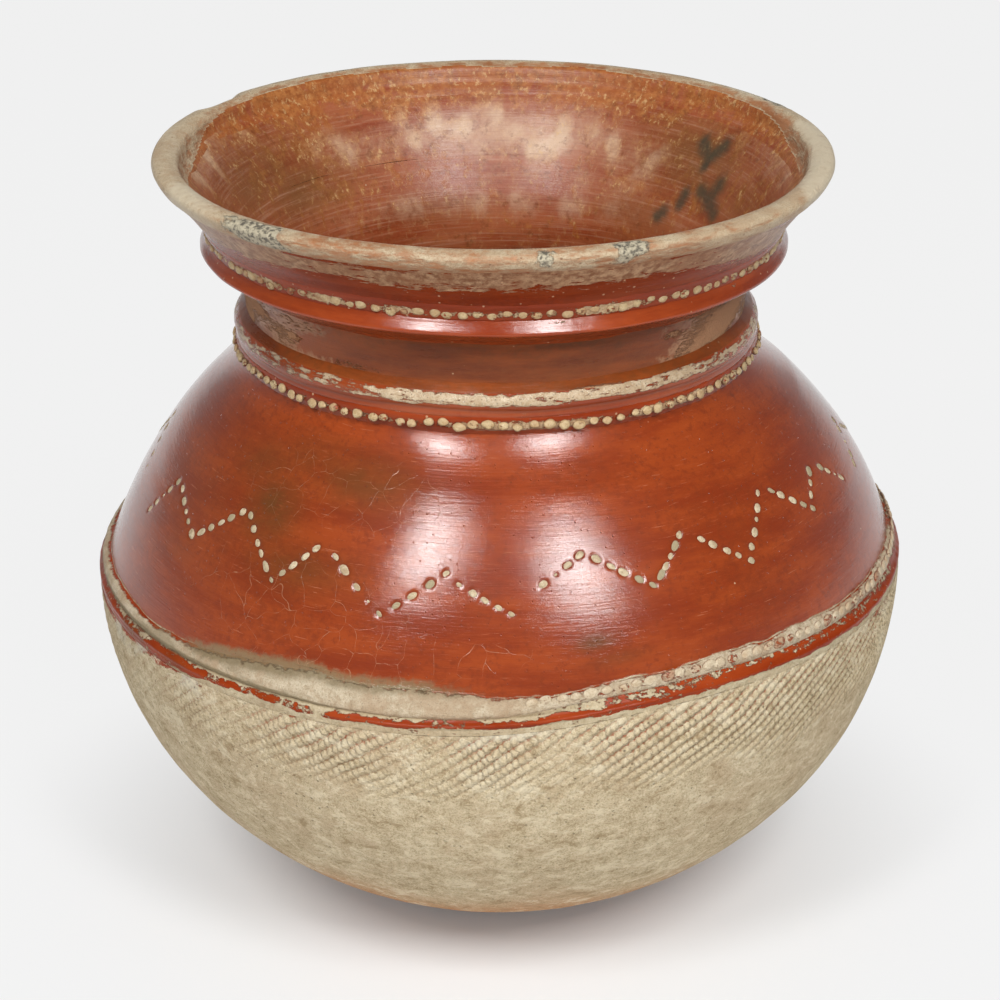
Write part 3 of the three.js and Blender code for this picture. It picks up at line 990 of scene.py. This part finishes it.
# Wear inside the mouth: tan and speckled near the rim, a pale wash with drips below it that is partly painted
# sheen, red at the bottom
def paintInside(clay):
    level = clay.level
    soot = np.max([stroke(clay, start, end, 1.9 * width) for start, end, width in neck["soot"]], axis=0)
    drips = ease(lumps(level * [1, 1, 0.12], 8, 74), -0.1, 0.7)
    rim = ease(clay.height + 5 * lumps(level, 26, 84), 334, 347)
    low = 1 - ease(clay.height + 4 * lumps(level, 22, 75) + 5 * drips, 302, 316)
    # pale washes with drips; in places these are painted sheen on the inner wall
    sheenAndWash = patches(clay, neck["sheenAndWashes"]) * (0.56 + 0.5 * drips)
    whole = 0.25 * patch(clay, 128, 345, 14, 6)
    slip = 0.66 - 0.3 * rim - 0.26 * drips * (1 - low) + 0.04 * low + whole
    slip += 0.14 * lumps(level, 18, 86)
    return {"slip": slip, "cloud": patches(clay, neck["olive"]), "soot": soot, "stain": sheenAndWash}


def buildNeck():
    clay = turnWall("neck_clay", neckOuter, neckInner, neck)
    worn = 0.3 * ease(lumps(clay.level * [1, 1, 2], 24, 73), 0.1, 0.8)
    foot = 1 - ease(clay.height, 264, 272)
    streaky = clay.level * [1, 1, 3]
    # the sides are painted paler in streaks: painted light where the soft boxes fall, partly pale streaks of
    # the slip
    sides = (1 - foot) * ease(np.abs(clay.angle), 24, 52) * ease(lumps(streaky, 22, 77), -0.9, 0.2)
    slip = 1.0 - (1 - foot) * worn - 0.4 * patches(clay, neck["flakes"]) - 0.52 * sides
    # the top of the neck, just under the flange, is darkened less on the lit left side: painted shade;
    # streaky soot follows
    soot = 0.45 * ease(clay.height, 293, 306) * (1 - 0.95 * ease(-clay.angle, 15, 50))
    soot += 0.25 * ease(lumps(streaky, 18, 76), 0.1, 0.7)
    outerLayers = {"slip": slip, "cloud": 0 * foot, "stain": sides, "soot": soot}
    for layer, values in paintInside(clay).items():
        paint(clay, layer, np.where(clay.inside, values, outerLayers[layer]))
    # the foot of the neck is burnished like the shoulder
    fire(clay, "neck_wall", "brushed_red", neckFinish, insideFinish, shoulderFinish)
    footRows = np.searchsorted(clay.outer[:, 1], neck["footTop"])
    chooseFinish(clay, np.where(clay.insideFaces, 1, np.where(clay.faceRow < footRows, 2, 0)))


buildNeck()


# Mouth flare: the slip is worn to buff clay below the lip
flare = {
    "columns": 630, "outerGap": 1.0 * mm, "innerGap": 1.2 * mm,
    "wornHeight": 336.5, "creaseHeight": 346.5,  # where the slip ends, and the groove under the lip
}
flareLook = dict(
    baseLook, slipDark=(116, 42, 14), slipLight=(138, 58, 24), clayDark=(132, 92, 64),
    clayLight=(188, 154, 120), clayTint=(150, 104, 72), tintShare=0.6, raggedSize=9,
    raggedFlat=5, ragged=2.4, slipRough=0.24, clayRough=0.4, slipBump=0.1, clayBump=0.25, lineBump=0.3,
    fleckShare=0.22, fleckGap=4.2, clayGrit=0.6, gritColour=(120, 78, 52), gloss=0.35)


def buildFlare():
    clay = turnWall("flare_clay", flareOuter, flareInner, flare)
    edge = flare["wornHeight"] + 2.2 * lumps(clay.level, 30, 83) - 3 * ease(clay.angle, 25, 60)
    edge += 3 * ease(clay.angle, 130, 175) - 3.5 * ease(np.abs(clay.angle), 30, 65)
    red = 1 - 0.78 * ease(clay.height, edge - 4, edge + 4)
    crease = bell(clay.height, flare["creaseHeight"], 1.1)
    red += 0.6 * crease * ease(lumps(clay.level, 24, 85), -0.3, 0.4)
    for layer, values in paintInside(clay).items():
        paint(clay, layer, np.where(clay.inside, values, red * (layer == "slip")))
    fire(clay, "mouth_flare", "brushed_red", clayFinish("worn red slip", flareLook), insideFinish)
    chooseFinish(clay, clay.insideFaces)


buildFlare()


# Lip: a worn roll of cream clay on top of the flare, tan and speckled on its inner side
lip = {
    "columns": 900, "gap": 0.8 * mm, "thickness": 12 * mm, "crestRise": 2.4,
    "rough": 0.22 * mm, "crumbRise": 0.3 * mm, "crumbSink": 0.25 * mm,
    "outerReach": 4, "innerReach": 8,  # how far the roll runs down, in mm
    "crumbs": [
        (-39, 9, 1.2), (7, 4, 1.1), (22, 3.5, 1.1), (-62, 5, 0.5), (64, 6, 0.55), (118, 7, 0.7),
        (-150, 9, 0.7)],
    "chipAngle": -120, "chipSpan": 5, "chipDepth": 2.6 * mm,
    "frontEdge": 140, "backEdge": 145.8,  # radius where the cream ends, at the front and at the back
}


def lipSection():
    top, crest = highOf("rim_lip").z / mm, highOf("rim_lip").x / mm
    crestZ = flareTopZ / mm + lip["crestRise"]
    inner = crest - lip["thickness"] / mm
    low, foot = flareTopZ / mm - lip["outerReach"], flareTopZ / mm - lip["innerReach"]

    def wallAt(height, off):
        return (wallRadius(height * mm) / mm + off, height)

    points = [
        wallAt(low, -0.6), wallAt(low + 0.8, 0.5), wallAt(low + 2.6, 0.9), (crest - 0.4, crestZ - 1.0),
        (crest, crestZ + 0.6), (crest - 1.0, crestZ + 2.3), (crest - 3.2, top - 0.4), (crest - 6, top),
        (inner + 3.2, top - 0.7), (inner + 1.0, crestZ + 1.5), (inner - 0.2, crestZ - 0.6),
        wallAt(foot + 6, -10.3), wallAt(foot + 3, -10.15), wallAt(foot, -9.85)]
    front = softLine(np.array(points) * mm, lip["gap"])
    ends = [(front[-1, 0] + 2 * mm, front[-1, 1]), (front[0, 0] - 2 * mm, front[0, 1])]
    return np.concatenate([front, ends])


def lipRelief(clay):
    rough = lip["rough"] * roughLumps(clay.level * [1, 1, 2], 22, 91)
    crumbs = [share * bell(turnFrom(clay, angle), 0, span) for angle, span, share in lip["crumbs"]]
    face = ease(clay.height, 346.5, 350) * ease(clay.radius, 143, 148)
    crumbs = sum(crumbs) * face * ease(lumps(clay.level, 9, 95), -0.8, 0.2)
    rough += crumbs * (lip["crumbRise"] * lumps(clay.level, 2.4, 93) - lip["crumbSink"])
    chip = bell(turnFrom(clay, lip["chipAngle"]), 0, lip["chipSpan"], 4) * ease(clay.radius, 144, 151)
    clay.crumbs, clay.chip = crumbs, chip
    return rough - lip["chipDepth"] * chip * ease(clay.height, 346, 351)


lipLook = dict(
    baseLook, clayDark=(170, 147, 117), clayLight=(210, 193, 163), clayTint=(174, 142, 110),
    tintShare=0.5, slipDark=(150, 98, 62), slipLight=(176, 124, 86), slipTint=(158, 104, 66),
    mottleFine=0.8, coverSoft=0.3, ragged=2.0, raggedSize=9, raggedFlat=4, slipRough=0.44, slipBump=0.35,
    clayRough=0.5, clayBump=0.7, clayGrit=0.7, gritColour=(128, 98, 70), fleckShare=0.14, fleckGap=4,
    fleckColour=(122, 84, 56), lineStretch=12, lineBump=0.4, stainColour=(208, 194, 168), gloss=0.35)


def buildLip():
    clay = turnClay("lip_coil", lipSection(), lip["columns"], lipRelief)
    level = clay.level
    behind = ease(np.abs(clay.angle), 92, 126)
    edge = lip["frontEdge"] + (lip["backEdge"] - lip["frontEdge"]) * behind + 1.4 * lumps(level, 20, 97)
    cream = ease(clay.radius, edge - 3.5, edge + 3.5)
    pale = 0.26 * ease(np.abs(clay.angle), 25, 75)
    tan = 0.4 - pale + 0.3 * lumps(level, 24, 94) + 0.5 * (1 - cream)
    paint(clay, "slip", np.where(cream > 0, tan, paintInside(clay)["slip"]))
    paint(clay, "crumb", clay.crumbs)
    whitened = cream * ease(np.abs(clay.angle), 20, 70) * ease(lumps(level, 30, 96), -0.4, 0.5)
    paint(clay, "stain", 0.8 * whitened)
    paint(clay, "pit", 0.3 * clay.chip)
    fire(clay, "rim_lip", "worn_kaolin", clayFinish("worn lip clay", lipLook), insideFinish)
    chooseFinish(clay, cream <= 0)


buildLip()


# Upper flange: a glossy red shelf with a hollow underside, below the upper pellets
flange = {
    "columns": 900, "gap": 0.8 * mm, "swell": 0.35 * mm, "rough": 0.15 * mm,
    "profile": [
        (304.2, -0.6), (307.5, 1.0), (311.0, 4.2), (313.6, 8.1), (314.8, 8.9), (316.0, 7.7), (318.7, 4.1),
        (320.6, 1.9), (322.0, -0.6)],
}


def flangeRelief(clay):
    pushed = flange["swell"] * lumps(clay.level * [1, 1, 0.5], 26, 101)
    return pushed + flange["rough"] * roughLumps(clay.level * [1, 1, 2], 12, 103)


flangeLook = dict(
    baseLook, slipDark=(134, 48, 14), slipLight=(162, 68, 26), slipTint=(146, 60, 24),
    clayDark=(184, 150, 112), clayLight=(212, 188, 152), slipRough=0.18, clayRough=0.5,
    lineBump=0.2, ragged=1.2, raggedSize=4, raggedFlat=2.5, fleckShare=0.22, fleckGap=4,
    fleckSize=0.55, gloss=0.35, coat=0.35, coatRough=0.2)


def buildFlange():
    clay = layCoil("upper_flange", flange, flangeRelief)
    smears = bell(clay.height, 319, 1.6) * ease(lumps(clay.level * [1, 1, 2], 16, 102), 0.1, 0.6)
    paint(clay, "slip", 0.98 - 0.42 * smears)
    # the underside below the crest is darkened: painted shade
    paint(clay, "soot", 0.4 * (1 - ease(clay.height, 307, 313)))
    fire(clay, "upper_ridge", "brushed_red", clayFinish("glossy red flange", flangeLook))


buildFlange()


# Two rows of small pellets on the neck, each on a low bed of clay
def beadCount(node, pitch):
    return round(turn * highOf(node).x / pitch)


upperRow = {
    "beads": beadCount("upper_bead_row", 6.25 * mm), "seed": 111, "radius": 129.6, "middle": 323.2,
    "tilt": -0.1, "half": 2.6, "width": 2.05, "thickness": 1.45, "stray": 0.4, "sway": 0.6, "missing": 0.14,
    "columns": 660, "gap": 0.9 * mm, "rough": 0.3 * mm, "burnishedBelow": 0,
    "profile": [
        (318.6, -0.6), (320.0, 2.2), (321.8, 1.8), (324.2, 0.9), (327.0, 0.4), (328.8, -0.6)],
}
lowerRow = {
    "beads": beadCount("lower_bead_row", 6.5 * mm), "seed": 113, "radius": 119.4, "middle": 269.6,
    "tilt": 0.3, "half": 2.55, "width": 1.95, "thickness": 1.4, "stray": 0.45, "sway": 0.6, "missing": 0.16,
    "columns": 600, "gap": 0.9 * mm, "rough": 0.3 * mm, "burnishedBelow": 268.0,
    "profile": [
        (264.8, -0.7), (266.0, 0.5), (268.0, 2.1), (270.2, 3.5), (272.6, 4.2), (274.4, 3.4), (275.0, -0.6)],
}
bedLook = dict(
    baseLook, slipDark=(128, 44, 14), slipLight=(152, 60, 24), clayDark=(172, 134, 98),
    clayLight=(208, 182, 146), ragged=1.5, raggedSize=3, slipRough=0.22, slipBump=0.12, clayRough=0.55,
    fleckShare=0.25, fleckGap=3.5, gloss=0.22)
beadLook = dict(
    baseLook, clayDark=(170, 140, 98), clayLight=(210, 189, 148), clayTint=(180, 140, 98),
    mottleFine=0.5, clayGrit=0.55, gritColour=(128, 84, 50), fleckShare=0.0, pitColour=(96, 44, 22),
    stainColour=(156, 90, 54), slipDark=(140, 60, 28), slipLight=(160, 80, 46),
    ragged=1.6, raggedSize=2.2, clayRough=0.5, clayBump=0.6, gloss=0.4)
bedFinish = clayFinish("pellet bed slip", bedLook)
beadFinish = clayFinish("cream pellets", beadLook)


def rowPellets(row):
    draw = np.random.default_rng(row["seed"])
    lean = math.radians(row.get("lean", 0))
    pellets = []
    for number in range(row["beads"]):
        theta = (number + draw.uniform(-0.14, 0.14)) / row["beads"] * turn - math.pi
        side = np.array([math.cos(theta), math.sin(theta), 0])
        outward = np.array([math.sin(theta), -math.cos(theta), row["tilt"]])
        outward /= np.linalg.norm(outward)
        long = side * math.cos(lean) + np.cross(outward, side) * math.sin(lean)
        sway = row["sway"] * lumps(150 * mm * outward[None] * [1, 1, 0], 32, row["seed"])[0]
        z = (row["middle"] + sway + draw.normal(0, row["stray"])) * mm
        size = draw.uniform(0.8, 1.1)
        flat = draw.uniform(0.7, 1.05)
        if draw.random() < row["missing"]:
            flat = 0.45
        half = row["half"] * size * draw.uniform(0.9, 1.12) * mm
        at = settle(np.array([theta]), np.array([row["radius"] * mm]), np.array([z]))[0]
        if row.get("from", 0) <= math.degrees(theta) % 360 <= row.get("to", 360):
            pellets.append((at, long, np.cross(outward, long), outward, half, row["width"] * size * mm,
                            row["thickness"] * flat * mm))
    return pellets


def layPellets(name, row, finish=beadFinish):
    clay = buildPellets(name, rowPellets(row), row["seed"])
    paint(clay, "slip", 0.2 + 0.25 * ease(clay.shade, 0.3, 1))
    # dark where each pellet meets its bed: painted shade
    paint(clay, "pit", 0.8 * (1 - ease(clay.lift, 0.0, 0.5)))
    paint(clay, "stain", 0.6 * ease(clay.shade, 0.75, 1))
    fire(clay, None, "worn_kaolin", finish)


def buildBeadRow(name, node, row):
    def relief(clay):
        return row["rough"] * roughLumps(clay.level, 6, row["seed"])

    bed = layCoil(name + "_bed", row, relief)
    inRow = bell(bed.height, row["middle"], 2.4)
    smear = ease(lumps(bed.level, 16, row["seed"] + 1), -0.3, 0.6)
    paint(bed, "slip", 0.95 - inRow * (0.35 + 0.6 * smear))
    # darker along the row where the pellets sit: painted shade between them
    paint(bed, "pit", 0.3 * inRow * (1 - smear))
    fire(bed, node, "brushed_red", bedFinish, shoulderFinish)
    chooseFinish(bed, bed.height < row["burnishedBelow"])
    layPellets(name, row)


buildBeadRow("upper_beads", "upper_bead_row", upperRow)
buildBeadRow("lower_beads", "lower_bead_row", lowerRow)


# Lower coil: crusty and pale on top, a smooth red cove below
coil = {
    "columns": 900, "gap": 0.8 * mm, "creaseHeight": 276.2, "brushedAbove": 283.2,
    "crust": 0.2 * mm, "rough": 0.25 * mm, "creaseDepth": 0.4 * mm,
    "profile": [
        (271.8, -0.6), (273.0, 3.8), (274.4, 4.4), (276.2, 4.8), (279.0, 5.75), (281.2, 5.5), (283.4, 3.8),
        (285.4, 1.6), (287.2, -0.6)],
}


def coilRelief(clay):
    top = ease(clay.height, 277.5, 279.5)
    crust = coil["crust"] * roughLumps(clay.level, 7, 121) * top
    wander = coil["creaseHeight"] + 0.8 * lumps(clay.level, 24, 122)
    clay.crease = bell(clay.height, wander, 0.7)
    return crust + coil["rough"] * roughLumps(clay.level, 18, 123) - coil["creaseDepth"] * clay.crease


coilLook = dict(
    baseLook, clayDark=(164, 136, 102), clayLight=(214, 196, 166), mottleFine=0.5,
    slipDark=(132, 52, 18), slipLight=(156, 72, 34), coverSoft=0.12, ragged=2.2,
    raggedSize=7, raggedFlat=4, slipRough=0.2, clayRough=0.45, clayBump=0.6, clayGrit=0.9,
    gritColour=(92, 70, 46), fleckShare=0.1, gloss=0.35, coat=0.25, coatRough=0.1,
    sootColour=(78, 46, 24))


def buildCoil():
    clay = layCoil("lower_coil", coil, coilRelief)
    level = clay.level
    pale = ease(clay.height + 0.9 * lumps(level, 20, 124), 277.6, 279.2)
    pale *= 1 - 0.9 * ease(clay.height + 1.2 * lumps(level, 18, 127), 282.4, 284.4)
    thin = 0.25 * facing(clay, -170, -120, -40, -8) + 0.2 * facing(clay, 25, 60, 120, 170)
    paint(clay, "slip", 0.98 - (0.72 - thin) * pale + 0.16 * lumps(level * [1, 1, 2], 16, 125))
    paint(clay, "crumb", 0.35 * pale * ease(lumps(level, 10, 126), -0.2, 0.5))
    brown = 0.3 * ease(clay.height, 282.4, 284.4)
    paint(clay, "soot", np.maximum(brown, 0.5 * pale * patch(clay, -50, 280, 14, 8)))
    # dark paint in the crease: painted shade
    paint(clay, "pit", 0.5 * clay.crease)
    # its top is brushed like the neck
    fire(clay, "lower_ridge", "worn_kaolin", clayFinish("crusty coil", coilLook), neckFinish)
    chooseFinish(clay, clay.height > coil["brushedAbove"])


buildCoil()


# Belly fillet: a soft cream band, with a row of flattened pellets on the right
fillet = {
    "columns": 1260, "gap": 0.75 * mm, "burnishedAbove": 172, "rough": 0.45 * mm, "grit": 0.12 * mm,
    "beadsFrom": 4, "beadsTo": 222,  # the pellets show between these angles
    "profile": [
        (166.6, -0.4), (167.3, 1.5), (168.4, 2.6), (169.8, 3.0), (171.6, 2.8), (174.0, 2.1), (177.0, 1.1),
        (180.0, 0.35), (182.0, -0.6)],
}
bellyRow = {
    "beads": beadCount("belly_bead_fillet", 6.6 * mm), "seed": 131, "radius": 184.4, "middle": 173.2,
    "tilt": 0.3, "half": 3.3, "width": 2.2, "thickness": 1.15, "stray": 0.3, "sway": 0.5, "missing": 0.08,
    "lean": 12, "from": fillet["beadsFrom"], "to": fillet["beadsTo"],
}


def filletRelief(clay):
    angle = clay.angle % 360
    shown = ease(angle, fillet["beadsFrom"] - 4, fillet["beadsFrom"] + 8)
    clay.shown = shown * (1 - ease(angle, fillet["beadsTo"], fillet["beadsTo"] + 15))
    smooth = fillet["rough"] * roughLumps(clay.level, 14, 132) + fillet["grit"] * lumps(clay.level, 3, 133)
    # under the pellets the band is lower and follows their row
    stand = clay.radius - wallRadius(clay.height * mm) / mm
    bed = 0.3 + 2.1 * bell(clay.height, bellyRow["middle"] - 0.6, 3.2)
    target = stand + (bed - stand) * clay.shown
    # and it sinks into the wall where the slip is red
    red = bellyFade(clay)[0]
    target += (-0.6 - target) * red
    return smooth * (1 - red) + np.where(stand > 0, target - stand, 0) * mm


filletLook = dict(
    baseLook, clayDark=(166, 146, 118), clayLight=(214, 200, 174), clayTint=(166, 138, 108),
    tintShare=0.6, mottleFine=0.5, clayGrit=0.6, gritColour=(118, 98, 70), slipDark=(132, 46, 12),
    slipLight=(156, 62, 22), coverSoft=0.14, ragged=1.4, raggedSize=4, raggedFlat=2.5, slipRough=0.25,
    slipBump=0.1, clayRough=0.62, clayBump=0.9, fleckShare=0.14, fleckGap=4, fleckSize=0.5, gloss=0.3,
    fleckColour=(140, 84, 54), stainColour=(126, 110, 80))


def buildFillet():
    clay = layCoil("belly_fillet", fillet, filletRelief, strips=3)
    level = clay.level
    red, smoke = bellyFade(clay)
    bed = clay.shown * (0.75 * (1 - ease(clay.height, 167.4, 169.8)) + 0.25 + 0.25 * lumps(level, 12, 138))
    paint(clay, "slip", 0.1 + 0.12 * lumps(level, 14, 137) + 0.9 * np.maximum(red, bed))
    left = facing(clay, -150, -130, -34, -8)
    # olive darkening in the groove at the foot of the band, stronger on the left: painted shade
    groove = 1 - ease(clay.height + 0.5 * lumps(level, 16, 134) - 2.4 * left, 167.4, 169)
    streaks = 0.6 * left * ease(lumps(level * [1, 1, 7], 16, 139), 0.0, 0.6)
    stain = np.maximum(smoke, (0.55 + 0.35 * left) * groove * (1 - clay.shown))
    paint(clay, "stain", np.maximum(stain, streaks))
    # its top is burnished like the shoulder
    fire(clay, "belly_bead_fillet", "worn_kaolin", clayFinish("cream fillet", filletLook), shoulderFinish)
    chooseFinish(clay, (red > 0.75) & (clay.height > fillet["burnishedAbove"]))
    white = dict(beadLook, clayDark=(180, 158, 128), clayLight=(218, 204, 176))
    layPellets("belly_beads", bellyRow, clayFinish("white pellets", white))


buildFillet()


# Red ridge round the belly: a thin raised line over the top of the rolled band
ridge = {
    "columns": 1260, "rows": 30, "lineHeight": 165.6, "lineSpan": 1.1, "lineStand": 1.0,
    "rough": 0.22 * mm, "grit": 0.12 * mm,
    "heights": [160.5, 163, 164.6, 166.2, 167.4, 168.8, 170],
    "radii": [187.8, 188.1, 187.9, 187.4, 186.5, 185.6, 184.8],
    "redLow": 164.0, "redHigh": 167.2,
    "breaks": [(-41, 1.4), (-35, 2.5), (-29, 2), (-24, 1.5), (143, 3), (-100, 4)],
    "glintSpan": 22,  # the line stands up most within this angle of the front
}


def ridgeRelief(clay):
    cord = rollCord(clay, np.minimum(brimZ / mm - clay.height, 0))
    broken = sum(bell(turnFrom(clay, angle), 0, span) for angle, span in ridge["breaks"])
    clay.broken = np.clip(broken, 0, 1)
    clay.pressed = clay.pressed * (1 - ease(clay.height, 163, 164.6))
    line = bell(clay.height, ridge["lineHeight"], ridge["lineSpan"])
    push = ridge["rough"] * roughLumps(clay.level, 12, 142) + ridge["grit"] * lumps(clay.level, 3.5, 146)
    clay.glint = bell(turnFrom(clay, 0), 0, ridge["glintSpan"], 4)
    push -= line * mm * (0.6 * clay.broken + 0.4 - 0.5 * clay.glint)
    front = clay.row < ridge["rows"]
    return (push + bowl["cordDepth"] * clay.pressed * cord) * front


ridgeLook = dict(
    baseLook, slipDark=(134, 44, 12), slipLight=(158, 62, 22), slipTint=(146, 56, 20),
    clayDark=(176, 158, 126), clayLight=(212, 197, 167), gritColour=(140, 124, 96),
    mottleFine=0.5, ragged=2.8, raggedSize=3.4, raggedFlat=2, coverSoft=0.14, slipRough=0.3,
    fleckShare=0.2, fleckGap=3, fleckSize=0.6, clayRough=0.75, stainColour=(128, 110, 80), gloss=0.14)


def buildRidge():
    node = "belly_red_ridge"
    z = np.linspace(lowOf(node).z - 0.2 * mm, highOf(node).z, ridge["rows"])
    radius = np.interp(z / mm, ridge["heights"], ridge["radii"])
    radius += ridge["lineStand"] * bell(z / mm, ridge["lineHeight"], ridge["lineSpan"])
    back = [(shoulderFootRadius, z[-1]), (shoulderFootRadius, z[0])]
    section = np.concatenate([np.stack([radius * mm, z], 1), back])
    clay = turnClay("belly_ridge", section, ridge["columns"], ridgeRelief)
    level = clay.level
    edge = clay.height + 1.2 * lumps(level, 14, 143) + 0.7 * lumps(level, 5, 144)
    right = ease(clay.angle, 0, 25) + 1 - ease(clay.angle, -170, -140)
    broad = facing(clay, -150, -120, -52, -38)
    reach = edge + 0.2 * right + 3.2 * broad - 0.5 * clay.glint
    red = ease(reach, ridge["redLow"] - 0.5, ridge["redLow"] + 0.5)
    red *= 1 - (0.9 - 0.5 * right - 0.5 * broad) * ease(edge, ridge["redHigh"] - 0.4, ridge["redHigh"] + 0.6)
    overspill = (1 - 0.3 * right) * ease(lumps(level, 12, 145), -0.1, 0.4)
    paint(clay, "slip", 0.06 + 0.9 * red - 0.22 * red * overspill - 0.42 * clay.broken)
    paint(clay, "cloud", 0.45 * (1 - ease(clay.angle, -50, -20)) * ease(lumps(level, 16, 147), -0.6, 0.4))
    # olive darkening at the top of the ridge, in the groove under the fillet: painted shade
    paint(clay, "stain", 0.7 * (1 - right) * ease(clay.height, ridge["redHigh"] - 0.2, ridge["redHigh"] + 1))
    paintCord(clay)
    paint(clay, "pressed", clay.pressed)
    fire(clay, node, "burnished_red", clayFinish("red ridge slip", ridgeLook, cordLines))


buildRidge()


# Studio: pale floor, two soft boxes in front, a pale backdrop behind and a dim room
studio = {
    "floorSize": 16, "floorColour": (0.88, 0.88, 0.88, 1), "paperWhite": (0.9, 0.9, 0.9, 1),
    "paperStart": 0.04, "paperEnd": 0.27, "paperShare": 0.95,  # how the paper turns white away from the jar
    # turn, rise, sides and power
    "boxes": [("left box", -28, 46, 0.31, 0.74, 25), ("right box", 24, 44, 0.38, 0.82, 31)],
    "boxDistance": 2.2, "aimHeight": 0.22,
    "backdrop": (0.5, 0.5, 0.5, 1), "room": (0.26, 0.26, 0.26, 1), "ceiling": (0.13, 0.13, 0.13, 1),
}


def buildStudio():
    half = studio["floorSize"] / 2
    mesh = bpy.data.meshes.new("studio_floor")
    corners = [(-half, -half, 0), (half, -half, 0), (half, half, 0), (-half, half, 0)]
    mesh.from_pydata(corners, [], [(0, 1, 2, 3)])
    floor = bpy.data.objects.new("studio_floor", mesh)
    bpy.context.scene.collection.objects.link(floor)
    paper = bpy.data.materials.new("studio paper")
    paper.use_nodes = True
    tree = bench["tree"] = paper.node_tree
    sheet = tree.nodes["Principled BSDF"]
    plain = {"Base Color": studio["floorColour"], "Roughness": 0.8, "Specular IOR Level": 0.1}
    for socket, value in plain.items():
        sheet.inputs[socket].default_value = value
    # away from the jar the paper is an even pale white
    away = put("VectorMath", {0: put("TexCoord").outputs["Object"]}, operation="LENGTH").outputs["Value"]
    path = put("LightPath").outputs
    seen = calc("MAXIMUM", path["Is Camera Ray"], path["Is Glossy Ray"])
    seen = calc("MAXIMUM", seen, path["Is Transmission Ray"])
    share = rise(away, studio["paperStart"], studio["paperEnd"], 0.1, studio["paperShare"])
    white = put("Emission", {"Color": studio["paperWhite"], "Strength": 1.0})
    mix = put("MixShader", {0: times(share, seen), 1: sheet.outputs[0], 2: white.outputs[0]})
    feed(tree.nodes["Material Output"].inputs["Surface"], mix.outputs[0])
    mesh.materials.append(paper)
    for name, azimuth, elevation, wide, tall, power in studio["boxes"]:
        lamp = bpy.data.lights.new(name, "AREA")
        lamp.shape = "RECTANGLE"
        lamp.size, lamp.size_y, lamp.energy = wide, tall, power
        box = bpy.data.objects.new(name, lamp)
        azimuth, elevation = math.radians(azimuth), math.radians(elevation)
        flat = studio["boxDistance"] * math.cos(elevation)
        lift = studio["aimHeight"] + studio["boxDistance"] * math.sin(elevation)
        box.location = (flat * math.sin(azimuth), -flat * math.cos(azimuth), lift)
        box.rotation_euler = (math.pi / 2 - elevation, 0, azimuth)
        bpy.context.scene.collection.objects.link(box)
    world = bpy.data.worlds.new("studio surround")
    world.use_nodes = True
    tree = bench["tree"] = world.node_tree
    y, up = put("SeparateXYZ", {0: put("TexCoord").outputs["Generated"]}).outputs[1:]
    around = blend(rise(y, 0.75, 0.95), studio["room"], studio["backdrop"])
    sky = blend(rise(up, 0.16, 0.42), around, studio["ceiling"])
    feed(tree.nodes["Background"].inputs["Color"], sky)
    bpy.context.scene.world = world


buildStudio()

view = {"lens": 100.8, "distance": 1.2089, "height": 0.7174, "pitch": 23.83}
cameraData = bpy.data.cameras.new("studio camera")
cameraData.lens, cameraData.sensor_width = view["lens"], 36
camera = bpy.data.objects.new("studio camera", cameraData)
camera.location = (0, -view["distance"], view["height"])
camera.rotation_euler = (math.radians(90 - view["pitch"]), 0, 0)
bpy.context.scene.collection.objects.link(camera)
bpy.context.scene.camera = camera
bpy.context.scene.view_settings.view_transform = "Standard"
print("studio ready")
